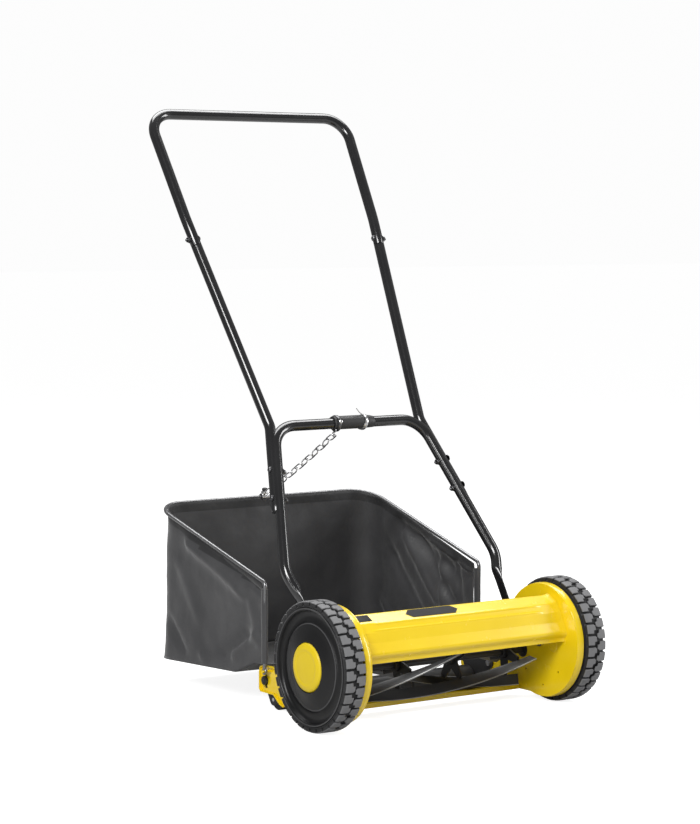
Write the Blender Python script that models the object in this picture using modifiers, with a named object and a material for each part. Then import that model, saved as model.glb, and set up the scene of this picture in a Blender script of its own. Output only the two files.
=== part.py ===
"""Push reel mower with a fabric grass catcher, as one assembly of separate pieces.

Metres, +Z up. The mower faces -Y, its handle and catcher are on the +Y side.
Places below are given from the middle of the wheels' axle line (y = 0, z = 0).
One root empty then moves everything so that the origin is on the ground, under the middle of the whole mower.
"""

import math

import bmesh
import bpy
from mathutils import Matrix, Vector

# ---------------------------------------------------------------- driving sizes
GAP = 0.0003  # between pieces that touch

WHEEL_RADIUS = 0.125
WHEEL_SPACING = 0.043  # from each side plate's inner face to the middle of its wheel
WHEEL_INNER = -0.0215  # along the wheel's axis, from its centre, outwards positive
WHEEL_OUTER = 0.0215
TYRE_DEPTH = 0.0125
TREAD_DEPTH = 0.0038
TYRE_SHOULDER = 0.003
WHEEL_STEPS = 36  # facets around a wheel and its tyre
TREAD_OUTER = 0.0160
GROOVE_HALF_WIDTH = 0.0020
DISC_LIP = 0.0065  # width of the wheel's outer lip
DISC_STEP_RADIUS = 0.0820
DISC_STEP_SLOPE = 0.003
DISC_WEB = 0.0050
RIM_WALL = 0.015
HUB_RADIUS = 0.026
HUB_FLARE = 0.004
HUB_INNER = -0.014
NUT_SEAT = 0.008
NUT_WELL_CLEARANCE = 0.006
CAP_SEAT_DEPTH = 0.0075
CAP_RADIUS = 0.0470
CAP_HEIGHT = 0.0175
CAP_WALL = 0.0028
CAP_BEVEL = 0.003

AXLE_RADIUS = 0.008
AXLE_FLANGE_RADIUS = 0.014
AXLE_FLANGE_THICK = 0.004
AXLE_COLLAR_RADIUS = 0.0115
AXLE_PAST_MIDDLE = 0.0165
AXLE_NUT_RADIUS = 0.013
AXLE_NUT_THICK = 0.0062

PLATE_INNER_X = 0.247
PLATE_THICK = 0.003
PLATE_INSET = 0.010  # how much smaller than the wheel the plate's disc is
PLATE_RIM = 0.013  # how far the disc's rolled rim stands outwards
PLATE_RIM_WALL = 0.0025
ARM_END_Y = 0.262
ARM_TOP_Z = -0.039
ARM_BOTTOM_Z = -0.089
ARM_BELLY_Z = -0.109
ARM_BELLY_Y = 0.178
ARM_BELLY_RUN = 0.034
ARM_CORNER = 0.012

REEL_Y = 0.060
REEL_Z = -0.027
REEL_RADIUS = 0.070
REEL_END_CLEARANCE = 0.019
REEL_TWIST = -4.51  # radians for each metre along +X
REEL_PHASE = math.radians(174.6)
BLADES = 5
BLADE_WIDTH = 0.022
BLADE_THICK = 0.003
SPIDERS = 4
SPIDER_INSET = 0.028  # from each end of the blades to the nearest spider
SPIDER_THICK = 0.004
SPIDER_ARM = 0.014
SPIDER_HUB_RADIUS = 0.020
SHAFT_RADIUS = 0.008
BUSH_RADIUS = 0.016
BUSH_FLANGE_RADIUS = 0.020
BUSH_FLANGE_THICK = 0.004

RING_TEETH = 48
PINION_TEETH = 12
PRESSURE_ANGLE = math.radians(20)
BACKLASH = 0.0006
GEAR_SPACING = 0.0255  # from each side plate's inner face to its pinion
GEAR_WIDTH = 0.012
GEAR_END_CLEARANCE = 0.0065
KEY_WIDTH, KEY_LENGTH, KEY_SPAN = 0.004, 0.008, 0.0196

COVER_THICK = 0.0015
COVER_PROFILE = (
    (-0.008, 0.083),
    (-0.018, 0.094),
    (-0.046, 0.080),
    (-0.058, 0.063),
    (-0.066, 0.045),
    (-0.080, 0.023),
    (-0.070, 0.014),
    (-0.070, 0.006),
)
BADGE_LENGTH, BADGE_WIDTH, BADGE_THICK = 0.124, 0.024, 0.0006
BADGE_X = -0.050

KNIFE_CLEARANCE = 0.0007
KNIFE_EDGE_Y = 0.0775
KNIFE_THICK = 0.003
KNIFE_REAR_Y = 0.102
BAR_FRONT_Y, BAR_REAR_Y = 0.066, 0.105
BAR_DEPTH = 0.0100
BAR_WALL = 0.003

TUBE_RADIUS = 0.011
TUBE_WALL = 0.0015
TUBE_SIDES = 10
HANDLE_LEAN = 0.5907  # run towards +Y for each metre of height
LEG_FLARE = 0.0115  # how far outside the side plates' inner faces the legs bend
LEG_BEND_Z = 0.155
CORNER = (0.179, 0.426)  # half width and height of each bend, along the handle's plane
TUBE_JOINT = (0.229, 0.784)
HANDLE_TOP = (0.249, 1.059)
LEG_BEND_Y = 0.162
CORNER_BEND = 0.060
TOP_BEND = 0.052
SPLAY_BEND = 0.045
FOOT_THICK = 0.004
FOOT_HALF_WIDTH = 0.011
FOOT_TOP_Z = 0.116
FOOT_LENGTH = 0.142
FOOT_BOLTS = (0.092, 0.127)  # distances down the foot from its top
NEST_OUT, NEST_BACK = 0.0065, 0.0055  # where each middle tube lies against its leg
MIDDLE_START_Z = 0.267
SPIGOT_RADIUS, SPIGOT_LENGTH = 0.0082, 0.034
SPIGOT_PLUG = 0.012  # how far down into its tube the spigot is solid
LEG_BOLT_HEIGHTS = (0.290, 0.343)
BOLT_RADIUS = 0.003
BOLT_HOLE_CLEARANCE = 0.0003
BOLT_HEAD_RADIUS, BOLT_HEAD_THICK = 0.0055, 0.0040

SLEEVE_ENDS = (-0.039, 0.061)
SLEEVE_WALL = 0.0035
HOOK_X = -0.034
HOOK_WIDTH = 0.006
HOOK_WALL = 0.0018
EYE_RADIUS, EYE_HOLE, EYE_THICK = 0.0062, 0.0036, 0.003

LINK_WIRE = 0.003
LINK_WIDTH = 0.0150
LINKS = 13
LINK_BITE = 0.0005  # how far each link presses into the next
CHAIN_CLEARANCE = 0.0006  # between the last link and the clip

ROLLER_Y = 0.225
ROLLER_RADIUS = 0.022
ROLLER_END_CLEARANCE = 0.011
ROLLER_AXLE_RADIUS = 0.004
BRACKET_THICK = 0.003
BRACKET_EYE = 0.012
ADJUST_Y, ADJUST_Z = 0.165, -0.070
KNOB_Y, KNOB_Z = 0.245, -0.067
KNOB_RADIUS, KNOB_THICK = 0.009, 0.007
SLOT_HALF_HEIGHT = 0.0155

BAG_PIVOT_Y, BAG_PIVOT_Z = 0.228, -0.046
BAG_PIN_RADIUS = 0.003
BAG_EYE_RADIUS, BAG_EYE_WIDTH = 0.0068, 0.006
ROD_RADIUS = 0.004
ROD_SPACING = 0.017  # from each side plate's inner face to the rod's front end
ROD_FLARE = 0.009  # how much further out the rod's rear corner is
ROD_FRONT = (0.225, 0.130)
ROD_REAR = (0.634, 0.247)
ROD_FRONT_BEND, ROD_REAR_BEND = 0.014, 0.060
BAG_WALL = 0.0025
BAG_BOTTOM = ((0.236, -0.0345), (0.268, -0.0345), (0.335, -0.062), (0.594, -0.070))

CLIP_SIZE = (0.014, 0.010, 0.008)

# ---------------------------------------------------------------- sizes worked out from those
AROUND_X = (math.pi / 2, 0.0, math.pi / 2)  # local x, y, z become world y, z, x
PLATE_OUTER_X = PLATE_INNER_X + PLATE_THICK
BETWEEN_PLATES = PLATE_INNER_X - GAP
PLATE_RADIUS = WHEEL_RADIUS - PLATE_INSET
WHEEL_CENTRE_X = PLATE_INNER_X + WHEEL_SPACING
TYRE_SEAT_RADIUS = WHEEL_RADIUS - TYRE_DEPTH
TYRE_CORE_RADIUS = WHEEL_RADIUS - TREAD_DEPTH
DISC_LIP_RADIUS = TYRE_SEAT_RADIUS - DISC_LIP
CAP_SEAT = WHEEL_OUTER - CAP_SEAT_DEPTH
REEL_LENGTH = 2 * (PLATE_INNER_X - REEL_END_CLEARANCE)
SPIDER_SPACING = (REEL_LENGTH - 2 * SPIDER_INSET) / (SPIDERS - 1)
GEAR_INNER_X = PLATE_INNER_X + GEAR_SPACING
GEAR_OFFSET = math.hypot(REEL_Y, REEL_Z)
GEAR_DIRECTION = math.atan2(REEL_Z, REEL_Y)
RING_PITCH_RADIUS = GEAR_OFFSET * RING_TEETH / (RING_TEETH - PINION_TEETH)
PINION_PITCH_RADIUS = GEAR_OFFSET * PINION_TEETH / (RING_TEETH - PINION_TEETH)
MODULE = 2 * RING_PITCH_RADIUS / RING_TEETH
KNIFE_TOP_Z = REEL_Z - math.sqrt((REEL_RADIUS + KNIFE_CLEARANCE) ** 2 - (KNIFE_EDGE_Y - REEL_Y) ** 2)
BAR_TOP_Z = KNIFE_TOP_Z - KNIFE_THICK - GAP
LEG_BEND = (PLATE_INNER_X + LEG_FLARE, LEG_BEND_Z)
HANDLE_REAR_Y = LEG_BEND_Y + HANDLE_LEAN * (HANDLE_TOP[1] - LEG_BEND[1]) + TUBE_RADIUS
MIDDLE_Y = (HANDLE_REAR_Y - WHEEL_RADIUS) / 2
LEAN_ANGLE = math.atan(HANDLE_LEAN)
PLANE_NORMAL = Vector((0, math.cos(LEAN_ANGLE), -math.sin(LEAN_ANGLE)))
ROD_FRONT_X = PLATE_INNER_X + ROD_SPACING
ROD_REAR_X = ROD_FRONT_X + ROD_FLARE
ROLLER_HALF_LENGTH = PLATE_INNER_X - ROLLER_END_CLEARANCE
ROLLER_Z = ROLLER_RADIUS - WHEEL_RADIUS

SIDES = ((-1, "left"), (1, "right"))


# ---------------------------------------------------------------- scene and materials
for old in list(bpy.data.objects):
    bpy.data.objects.remove(old, do_unlink=True)

parts = bpy.data.collections.new("reel_mower")
guides = bpy.data.collections.new("guides")
bpy.context.scene.collection.children.link(parts)
bpy.context.scene.collection.children.link(guides)

root = bpy.data.objects.new("mower_origin", None)
root.location = (0, -MIDDLE_Y, WHEEL_RADIUS)
parts.objects.link(root)


def material(name, colour, roughness, metallic=0.0):
    """A Principled material of one colour."""
    made = bpy.data.materials.new(name)
    made.use_nodes = True
    shader = made.node_tree.nodes["Principled BSDF"]
    shader.inputs["Base Color"].default_value = (*colour, 1)
    shader.inputs["Roughness"].default_value = roughness
    shader.inputs["Metallic"].default_value = metallic
    return made


YELLOW = material("yellow_enamel", (0.90, 0.66, 0.02), 0.30)
BLACK_TUBE = material("black_enamel", (0.012, 0.012, 0.013), 0.22)
BLACK_BLADE = material("black_blade_steel", (0.018, 0.018, 0.020), 0.40, 0.3)
WHEEL_PLASTIC = material("black_wheel_plastic", (0.022, 0.022, 0.024), 0.50)
RUBBER = material("tyre_rubber", (0.035, 0.035, 0.036), 0.75)
STEEL = material("zinc_plated_steel", (0.62, 0.62, 0.63), 0.32, 1.0)
CAP_PLASTIC = material("yellow_cap_plastic", (0.90, 0.68, 0.02), 0.38)
FABRIC = material("dark_grey_fabric", (0.050, 0.050, 0.053), 0.90)
SOFT_BLACK = material("soft_black_plastic", (0.020, 0.020, 0.021), 0.60)


# ---------------------------------------------------------------- modelling helpers
def add(name, data, mat, location=(0, 0, 0), rotation=(0, 0, 0)):
    """Put new data into the mower as the named piece."""
    obj = bpy.data.objects.new(name, data)
    data.materials.append(mat)
    parts.objects.link(obj)
    obj.parent = root
    obj.location = location
    obj.rotation_euler = rotation
    return obj


def mesh_from(bm, name):
    """Turn a bmesh into mesh data and free it."""
    data = bpy.data.meshes.new(name)
    bm.to_mesh(data)
    bm.free()
    return data


def box(name, size, centre, mat, rotation=(0, 0, 0)):
    """A box of the given size about its centre."""
    bm = bmesh.new()
    bmesh.ops.create_cube(bm, size=1, matrix=Matrix.Diagonal((*size, 1)))
    return add(name, mesh_from(bm, name), mat, centre, rotation)


def rod(name, start, end, radius, mat, sides=16):
    """A solid round bar from one point to another."""
    start, end = Vector(start), Vector(end)
    run = end - start
    bm = bmesh.new()
    bmesh.ops.create_cone(
        bm, cap_ends=True, segments=sides, radius1=radius, radius2=radius, depth=run.length
    )
    turn = run.to_track_quat("Z", "Y").to_euler()
    return add(name, mesh_from(bm, name), mat, (start + end) / 2, turn)


def turned(name, profile, mat, centre, side=1, steps=32):
    """A piece turned about an axis along X; side -1 makes its mirror image.

    The profile holds (radius, distance along the axis), down the outer side from its far end.
    A profile that leaves the axis at both ends is closed into a ring.
    """
    points = [(radius, along * side) for radius, along in profile]
    if side < 0:
        points.reverse()
    ring = points[0][0] > 0 or points[-1][0] > 0
    bm = bmesh.new()
    verts = [bm.verts.new((radius, 0, along)) for radius, along in points]
    for first, second in zip(verts, verts[1:]):
        bm.edges.new((first, second))
    if ring:
        bm.edges.new((verts[-1], verts[0]))
    obj = add(name, mesh_from(bm, name), mat, centre, AROUND_X)
    screw = obj.modifiers.new("turn", "SCREW")
    screw.steps = steps
    screw.render_steps = steps
    screw.use_merge_vertices = True
    screw.merge_threshold = 0.00001
    return obj


def flat_side_down(obj, steps):
    """Turn a piece about its axis by half a facet, so that a facet and not an edge is lowest."""
    obj.data.transform(Matrix.Rotation(math.pi / steps, 4, "Z"))


def circle(radius, centre=(0, 0), sides=24):
    """Points of a circle in a flat outline."""
    turn = 2 * math.pi / sides
    return [
        (centre[0] + radius * math.cos(turn * i), centre[1] + radius * math.sin(turn * i))
        for i in range(sides)
    ]


def hull_of_circles(circles, sides=24):
    """The outline that a belt takes around several circles, each (centre, radius)."""
    spots = [spot for centre, radius in circles for spot in circle(radius, centre, sides)]
    start = min(spots)
    outline = [start]
    while True:
        here = outline[-1]
        best = None
        for spot in spots:
            if spot == here:
                continue
            if best is None:
                best = spot
                continue
            turn = (best[0] - here[0]) * (spot[1] - here[1]) - (best[1] - here[1]) * (spot[0] - here[0])
            if turn < 0:
                best = spot
        if best == start:
            return outline
        outline.append(best)


def flat(name, outlines, thickness, mat, centre, as_mesh=False):
    """A flat piece in a plane across X; outlines after the first are holes, in (y, z)."""
    curve = bpy.data.curves.new(name, "CURVE")
    curve.dimensions = "2D"
    curve.fill_mode = "BOTH"
    curve.extrude = thickness / 2
    for outline in outlines:
        spline = curve.splines.new("POLY")
        spline.points.add(len(outline) - 1)
        for point, (y, z) in zip(spline.points, outline):
            point.co = (y, z, 0, 1)
        spline.use_cyclic_u = True
    obj = add(name, curve, mat, centre, AROUND_X)
    return to_mesh(obj) if as_mesh else obj


def tube(name, points, radius, mat, sides=TUBE_SIDES, as_mesh=False, cyclic=False):
    """A round bar along a list of points."""
    curve = bpy.data.curves.new(name, "CURVE")
    curve.dimensions = "3D"
    curve.bevel_depth = radius
    curve.bevel_resolution = sides // 2 - 2
    curve.use_fill_caps = not cyclic
    spline = curve.splines.new("POLY")
    spline.points.add(len(points) - 1)
    for point, place in zip(spline.points, points):
        point.co = (*place, 1)
    spline.use_cyclic_u = cyclic
    obj = add(name, curve, mat)
    return to_mesh(obj) if as_mesh else obj


def to_mesh(obj):
    """Swap a curve object for a closed mesh object of the same name and place."""
    name = obj.name
    data = bpy.data.meshes.new_from_object(obj.evaluated_get(bpy.context.evaluated_depsgraph_get()))
    bm = bmesh.new()
    bm.from_mesh(data)
    bmesh.ops.remove_doubles(bm, verts=bm.verts, dist=0.00001)
    bmesh.ops.recalc_face_normals(bm, faces=bm.faces)
    bm.to_mesh(data)
    bm.free()
    mat = obj.data.materials[0]
    place, turn = obj.location.copy(), obj.rotation_euler.copy()
    bpy.data.objects.remove(obj, do_unlink=True)
    data.materials.clear()
    return add(name, data, mat, place, turn)


def combine(obj, tool, operation):
    """Boolean another object into this one and put that object away as a guide."""
    modifier = obj.modifiers.new(f"{operation.lower()}_{tool.name}", "BOOLEAN")
    modifier.operation = operation
    modifier.solver = "EXACT"
    modifier.object = tool
    if tool.name in parts.objects:
        parts.objects.unlink(tool)
        guides.objects.link(tool)
    tool.hide_render = True
    tool.display_type = "WIRE"
    return obj


def move_origin(obj, point):
    """Move an unrotated object's origin, leaving its shape where it is."""
    shift = Vector(point) - obj.location
    obj.data.transform(Matrix.Translation(-shift))
    obj.location = point
    return obj


def bend_path(stops, steps=4):
    """Points along straight runs joined by arcs; each stop is (point, bend radius)."""
    path = [Vector(stops[0][0])]
    for before, (corner, radius), after in zip(stops, stops[1:], stops[2:]):
        corner = Vector(corner)
        back = (Vector(before[0]) - corner).normalized()
        ahead = (Vector(after[0]) - corner).normalized()
        half = back.angle(ahead) / 2
        reach = radius / math.tan(half)
        centre = corner + (back + ahead).normalized() * (radius / math.sin(half))
        first = corner + back * reach - centre
        axis = first.cross(corner + ahead * reach - centre).normalized()
        sweep = math.pi - 2 * half
        for step in range(steps + 1):
            path.append(centre + Matrix.Rotation(sweep * step / steps, 3, axis) @ first)
    path.append(Vector(stops[-1][0]))
    return path


def on_handle(half_width, height, side=1):
    """A point in the handle's leaning plane."""
    return Vector((side * half_width, LEG_BEND_Y + HANDLE_LEAN * (height - LEG_BEND[1]), height))


# ---------------------------------------------------------------- wheels
def build_tyre(side, word):
    """The tyre: a ring with rounded shoulders and a groove around the middle of its tread."""
    seat = TYRE_SEAT_RADIUS + GAP
    crown = WHEEL_RADIUS / math.cos(math.pi / WHEEL_STEPS)
    profile = [
        (seat + TYRE_SHOULDER, WHEEL_OUTER),
        (crown, TREAD_OUTER),
        (crown, GROOVE_HALF_WIDTH),
        (TYRE_CORE_RADIUS, GROOVE_HALF_WIDTH * 0.6),
        (TYRE_CORE_RADIUS, -GROOVE_HALF_WIDTH * 0.6),
        (crown, -GROOVE_HALF_WIDTH),
        (crown, -TREAD_OUTER),
        (seat + TYRE_SHOULDER, WHEEL_INNER),
        (seat, WHEEL_INNER),
        (seat, WHEEL_OUTER),
    ]
    centre = (side * WHEEL_CENTRE_X, 0, 0)
    tyre = turned(f"tyre_{word}", profile, RUBBER, centre, side, steps=WHEEL_STEPS)
    flat_side_down(tyre, WHEEL_STEPS)


def involute(angle):
    """The involute function."""
    return math.tan(angle) - angle


def flank_shift(radius, pitch_radius):
    """How much a tooth's half angle differs from that at its pitch radius."""
    base = pitch_radius * math.cos(PRESSURE_ANGLE)
    return involute(PRESSURE_ANGLE) - involute(math.acos(min(1.0, base / radius)))


def gear_outline(teeth, pitch_radius, radii, sign, phase):
    """A toothed outline; sign is 1 for teeth that point out and -1 for a ring's teeth."""
    outline = []
    for tooth in range(teeth):
        middle = phase + 2 * math.pi * tooth / teeth
        edge = []
        for radius in radii:
            half = math.pi / teeth / 2 + sign * flank_shift(radius, pitch_radius)
            half -= BACKLASH / 4 / pitch_radius
            edge.append((radius, half))
        for radius, half in edge:
            outline.append((radius * math.cos(middle - half), radius * math.sin(middle - half)))
        for radius, half in reversed(edge):
            outline.append((radius * math.cos(middle + half), radius * math.sin(middle + half)))
    return outline


def build_wheel(side, word):
    """The wheel: rim, dished web, hub and the ring gear inside its rim."""
    cavity = TYRE_SEAT_RADIUS - RIM_WALL
    web_inner = GEAR_INNER_X + GEAR_WIDTH + GEAR_END_CLEARANCE - WHEEL_CENTRE_X
    web_outer = web_inner + DISC_WEB
    profile = [
        (TYRE_SEAT_RADIUS, WHEEL_OUTER - 0.001),
        (TYRE_SEAT_RADIUS, WHEEL_INNER),
        (cavity, WHEEL_INNER),
        (cavity, web_inner),
        (HUB_RADIUS + HUB_FLARE, web_inner),
        (HUB_RADIUS, HUB_INNER),
        (AXLE_RADIUS + GAP, HUB_INNER),
        (AXLE_RADIUS + GAP, NUT_SEAT),
        (AXLE_NUT_RADIUS + NUT_WELL_CLEARANCE, NUT_SEAT),
        (AXLE_NUT_RADIUS + NUT_WELL_CLEARANCE, CAP_SEAT),
        (CAP_RADIUS + GAP, CAP_SEAT),
        (CAP_RADIUS + GAP, WHEEL_OUTER - 0.0015),
        (DISC_STEP_RADIUS, CAP_SEAT + 0.001),
        (DISC_STEP_RADIUS + DISC_STEP_SLOPE, web_outer),
        (DISC_LIP_RADIUS, web_outer),
    ]
    centre = (side * WHEEL_CENTRE_X, 0, 0)
    wheel = turned(f"wheel_{word}", profile, WHEEL_PLASTIC, centre, side, steps=WHEEL_STEPS)
    flat_side_down(wheel, WHEEL_STEPS)
    tip, base = RING_PITCH_RADIUS - 0.7 * MODULE, RING_PITCH_RADIUS + MODULE
    gap_phase = GEAR_DIRECTION + math.pi / RING_TEETH
    teeth = gear_outline(RING_TEETH, RING_PITCH_RADIUS, (base, tip), -1, gap_phase)
    depth = GEAR_WIDTH + GEAR_END_CLEARANCE + DISC_WEB / 4
    ring_centre = (side * (GEAR_INNER_X + depth / 2), 0, 0)
    outer = circle(cavity + 0.004, sides=WHEEL_STEPS)
    ring = flat(f"ring_gear_{word}", [outer, teeth], depth, WHEEL_PLASTIC, ring_centre, as_mesh=True)
    combine(wheel, ring, "UNION")


def build_hub(side, word):
    """The cap over the hub, the axle screwed through the side plate, and its nut."""
    seat = CAP_SEAT + GAP
    top = seat + CAP_HEIGHT
    cap = [
        (0, top),
        (CAP_RADIUS - 1.5 * CAP_BEVEL, top),
        (CAP_RADIUS, top - CAP_BEVEL),
        (CAP_RADIUS, seat),
        (CAP_RADIUS - CAP_WALL, seat),
        (CAP_RADIUS - CAP_WALL, top - CAP_BEVEL - 0.001),
        (0, top - CAP_WALL),
    ]
    centre = (side * WHEEL_CENTRE_X, 0, 0)
    turned(f"hub_cap_{word}", cap, CAP_PLASTIC, centre, side, steps=32)
    face = PLATE_OUTER_X + GAP
    collar_end = WHEEL_CENTRE_X + HUB_INNER - GAP
    axle = [
        (0, WHEEL_CENTRE_X + AXLE_PAST_MIDDLE),
        (AXLE_RADIUS, WHEEL_CENTRE_X + AXLE_PAST_MIDDLE),
        (AXLE_RADIUS, collar_end),
        (AXLE_COLLAR_RADIUS, collar_end),
        (AXLE_COLLAR_RADIUS, face + AXLE_FLANGE_THICK),
        (AXLE_FLANGE_RADIUS, face + AXLE_FLANGE_THICK),
        (AXLE_FLANGE_RADIUS, face),
        (AXLE_RADIUS, face),
        (AXLE_RADIUS, PLATE_INNER_X - GAP),
        (AXLE_NUT_RADIUS, PLATE_INNER_X - GAP),
        (AXLE_NUT_RADIUS, PLATE_INNER_X - GAP - AXLE_NUT_THICK),
        (0, PLATE_INNER_X - GAP - AXLE_NUT_THICK),
    ]
    turned(f"wheel_axle_{word}", axle, STEEL, (0, 0, 0), side, steps=16)
    nut_x = side * (WHEEL_CENTRE_X + NUT_SEAT + GAP + AXLE_NUT_THICK / 2)
    outlines = [circle(AXLE_NUT_RADIUS, sides=6), circle(AXLE_RADIUS + GAP, sides=16)]
    flat(f"axle_nut_{word}", outlines, AXLE_NUT_THICK, STEEL, (nut_x, 0, 0))


# ---------------------------------------------------------------- frame
def foot_spot(distance):
    """Where a point down the handle's foot lies, in (y, z)."""
    top = on_handle(0, FOOT_TOP_Z)
    return top.y - math.sin(LEAN_ANGLE) * distance, top.z - math.cos(LEAN_ANGLE) * distance


def side_plate_outline():
    """The disc around the wheel axle with the arm that runs back to the roller."""
    low_angle = math.asin(ARM_BELLY_Z / PLATE_RADIUS)
    high_angle = math.asin((ARM_TOP_Z + ARM_CORNER) / PLATE_RADIUS)
    sweep = 2 * math.pi - (high_angle - low_angle)
    steps = 36
    outline = []
    for step in range(steps + 1):
        angle = high_angle + sweep * step / steps
        outline.append((PLATE_RADIUS * math.cos(angle), PLATE_RADIUS * math.sin(angle)))
    outline += [
        (ARM_BELLY_Y, ARM_BELLY_Z),
        (ARM_BELLY_Y + ARM_BELLY_RUN, ARM_BOTTOM_Z),
        (ARM_END_Y, ARM_BOTTOM_Z),
        (ARM_END_Y, ARM_TOP_Z - ARM_CORNER),
        (ARM_END_Y - ARM_CORNER, ARM_TOP_Z),
        (ARM_BELLY_Y, ARM_TOP_Z),
    ]
    return outline


def slot_outline():
    """The upright slot that the roller's clamping knob slides in."""
    half = ROLLER_AXLE_RADIUS + 0.0006
    rise = SLOT_HALF_HEIGHT
    return [
        (KNOB_Y - half - 0.001, KNOB_Z - rise),
        (KNOB_Y + half, KNOB_Z - rise),
        (KNOB_Y + half, KNOB_Z + rise),
        (KNOB_Y - half - 0.001, KNOB_Z + rise),
    ]


def build_side_plate(side, word):
    """A pressed side plate with its rolled rim, its holes and the pin that the catcher hangs on."""
    bolt_hole = BOLT_RADIUS + BOLT_HOLE_CLEARANCE
    outlines = [
        side_plate_outline(),
        circle(AXLE_RADIUS + GAP, (0, 0), 16),
        circle(BUSH_RADIUS + GAP, (REEL_Y, REEL_Z)),
        circle(ROLLER_AXLE_RADIUS + GAP, (ADJUST_Y, ADJUST_Z), 12),
        slot_outline(),
    ]
    outlines += [circle(bolt_hole, foot_spot(distance), 8) for distance in FOOT_BOLTS]
    middle = (side * (PLATE_INNER_X + PLATE_THICK / 2), 0, 0)
    plate = flat(f"side_plate_{word}", outlines, PLATE_THICK, YELLOW, middle, as_mesh=True)
    rim_end = PLATE_OUTER_X + PLATE_RIM
    rim_radius = PLATE_RADIUS - GAP
    rim_profile = [
        (rim_radius, rim_end),
        (rim_radius, PLATE_INNER_X + 0.001),
        (PLATE_RADIUS - PLATE_RIM_WALL, PLATE_INNER_X + 0.001),
        (PLATE_RADIUS - PLATE_RIM_WALL, rim_end),
    ]
    rim = turned(f"plate_rim_{word}", rim_profile, YELLOW, (0, 0, 0), side, steps=36)
    combine(plate, rim, "UNION")
    pin_start = (side * (PLATE_INNER_X + 0.001), BAG_PIVOT_Y, BAG_PIVOT_Z)
    pin_end = (side * (ROD_FRONT_X + BAG_EYE_WIDTH / 2 + 0.002), BAG_PIVOT_Y, BAG_PIVOT_Z)
    combine(plate, rod(f"catcher_pin_{word}", pin_start, pin_end, BAG_PIN_RADIUS, YELLOW), "UNION")


def sheet(name, profile, half_width, thickness, mat, side=1):
    """A bent sheet: a profile in (y, z), run along X and given its thickness on one side."""
    bm = bmesh.new()
    verts = [bm.verts.new((-half_width, y, z)) for y, z in profile]
    edges = [bm.edges.new(pair) for pair in zip(verts, verts[1:])]
    swept = bmesh.ops.extrude_edge_only(bm, edges=edges)
    moved = [item for item in swept["geom"] if isinstance(item, bmesh.types.BMVert)]
    bmesh.ops.translate(bm, verts=moved, vec=(2 * half_width, 0, 0))
    obj = add(name, mesh_from(bm, name), mat)
    solidify = obj.modifiers.new("thickness", "SOLIDIFY")
    solidify.thickness = thickness
    solidify.offset = side
    solidify.use_even_offset = True
    return obj


def build_cover():
    """The hood across the front and its blank badge."""
    sheet("front_cover", COVER_PROFILE, BETWEEN_PLATES, COVER_THICK, YELLOW)
    rear, crease = Vector(COVER_PROFILE[1]), Vector(COVER_PROFILE[2])
    slope = math.atan2(rear.y - crease.y, rear.x - crease.x)
    middle = (rear + crease) / 2
    half, point = BADGE_LENGTH / 2, BADGE_WIDTH / 2
    outline = [
        (-half, 0),
        (-half + point, -point),
        (half - point, -point),
        (half, 0),
        (half - point, point),
        (-half + point, point),
    ]
    badge = flat("cover_badge", [outline], BADGE_THICK, SOFT_BLACK, (0, 0, 0))
    lift = GAP + BADGE_THICK / 2
    badge.rotation_euler = (slope, 0, 0)
    badge.location = (BADGE_X, middle.x - math.sin(slope) * lift, middle.y + math.cos(slope) * lift)


def build_cutting_bar():
    """The bed-knife bar between the side plates and the fixed knife on top of it."""
    channel = [
        (BAR_FRONT_Y, BAR_TOP_Z - BAR_DEPTH),
        (BAR_FRONT_Y, BAR_TOP_Z),
        (BAR_REAR_Y, BAR_TOP_Z),
        (BAR_REAR_Y, BAR_TOP_Z - BAR_DEPTH),
    ]
    sheet("bed_knife_bar", channel, BETWEEN_PLATES, BAR_WALL, YELLOW, side=-1)
    size = (2 * BETWEEN_PLATES - 0.004, KNIFE_REAR_Y - KNIFE_EDGE_Y, KNIFE_THICK)
    centre = (0, (KNIFE_REAR_Y + KNIFE_EDGE_Y) / 2, KNIFE_TOP_Z - KNIFE_THICK / 2)
    box("bed_knife", size, centre, BLACK_BLADE)


# ---------------------------------------------------------------- reel
def blade_angle(x, blade):
    """The angle of a blade about the reel's axis at a place along it."""
    return REEL_PHASE + REEL_TWIST * x + 2 * math.pi * blade / BLADES


def build_blade(blade):
    """One helical blade: a flat strip twisted about the reel's axis."""
    bm = bmesh.new()
    bmesh.ops.create_grid(bm, x_segments=16, y_segments=1, size=0.5)
    middle = REEL_RADIUS - BLADE_WIDTH / 2
    bmesh.ops.scale(bm, verts=bm.verts, vec=(REEL_LENGTH, BLADE_WIDTH, 1))
    bmesh.ops.translate(bm, verts=bm.verts, vec=(0, middle, 0))
    turn = (blade_angle(0, blade), 0, 0)
    name = f"reel_blade_{blade + 1}"
    obj = add(name, mesh_from(bm, name), BLACK_BLADE, (0, REEL_Y, REEL_Z), turn)
    solidify = obj.modifiers.new("thickness", "SOLIDIFY")
    solidify.thickness = BLADE_THICK
    solidify.offset = 0
    twist = obj.modifiers.new("helix", "SIMPLE_DEFORM")
    twist.deform_method = "TWIST"
    twist.deform_axis = "X"
    twist.angle = REEL_TWIST * REEL_LENGTH
    return obj


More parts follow.
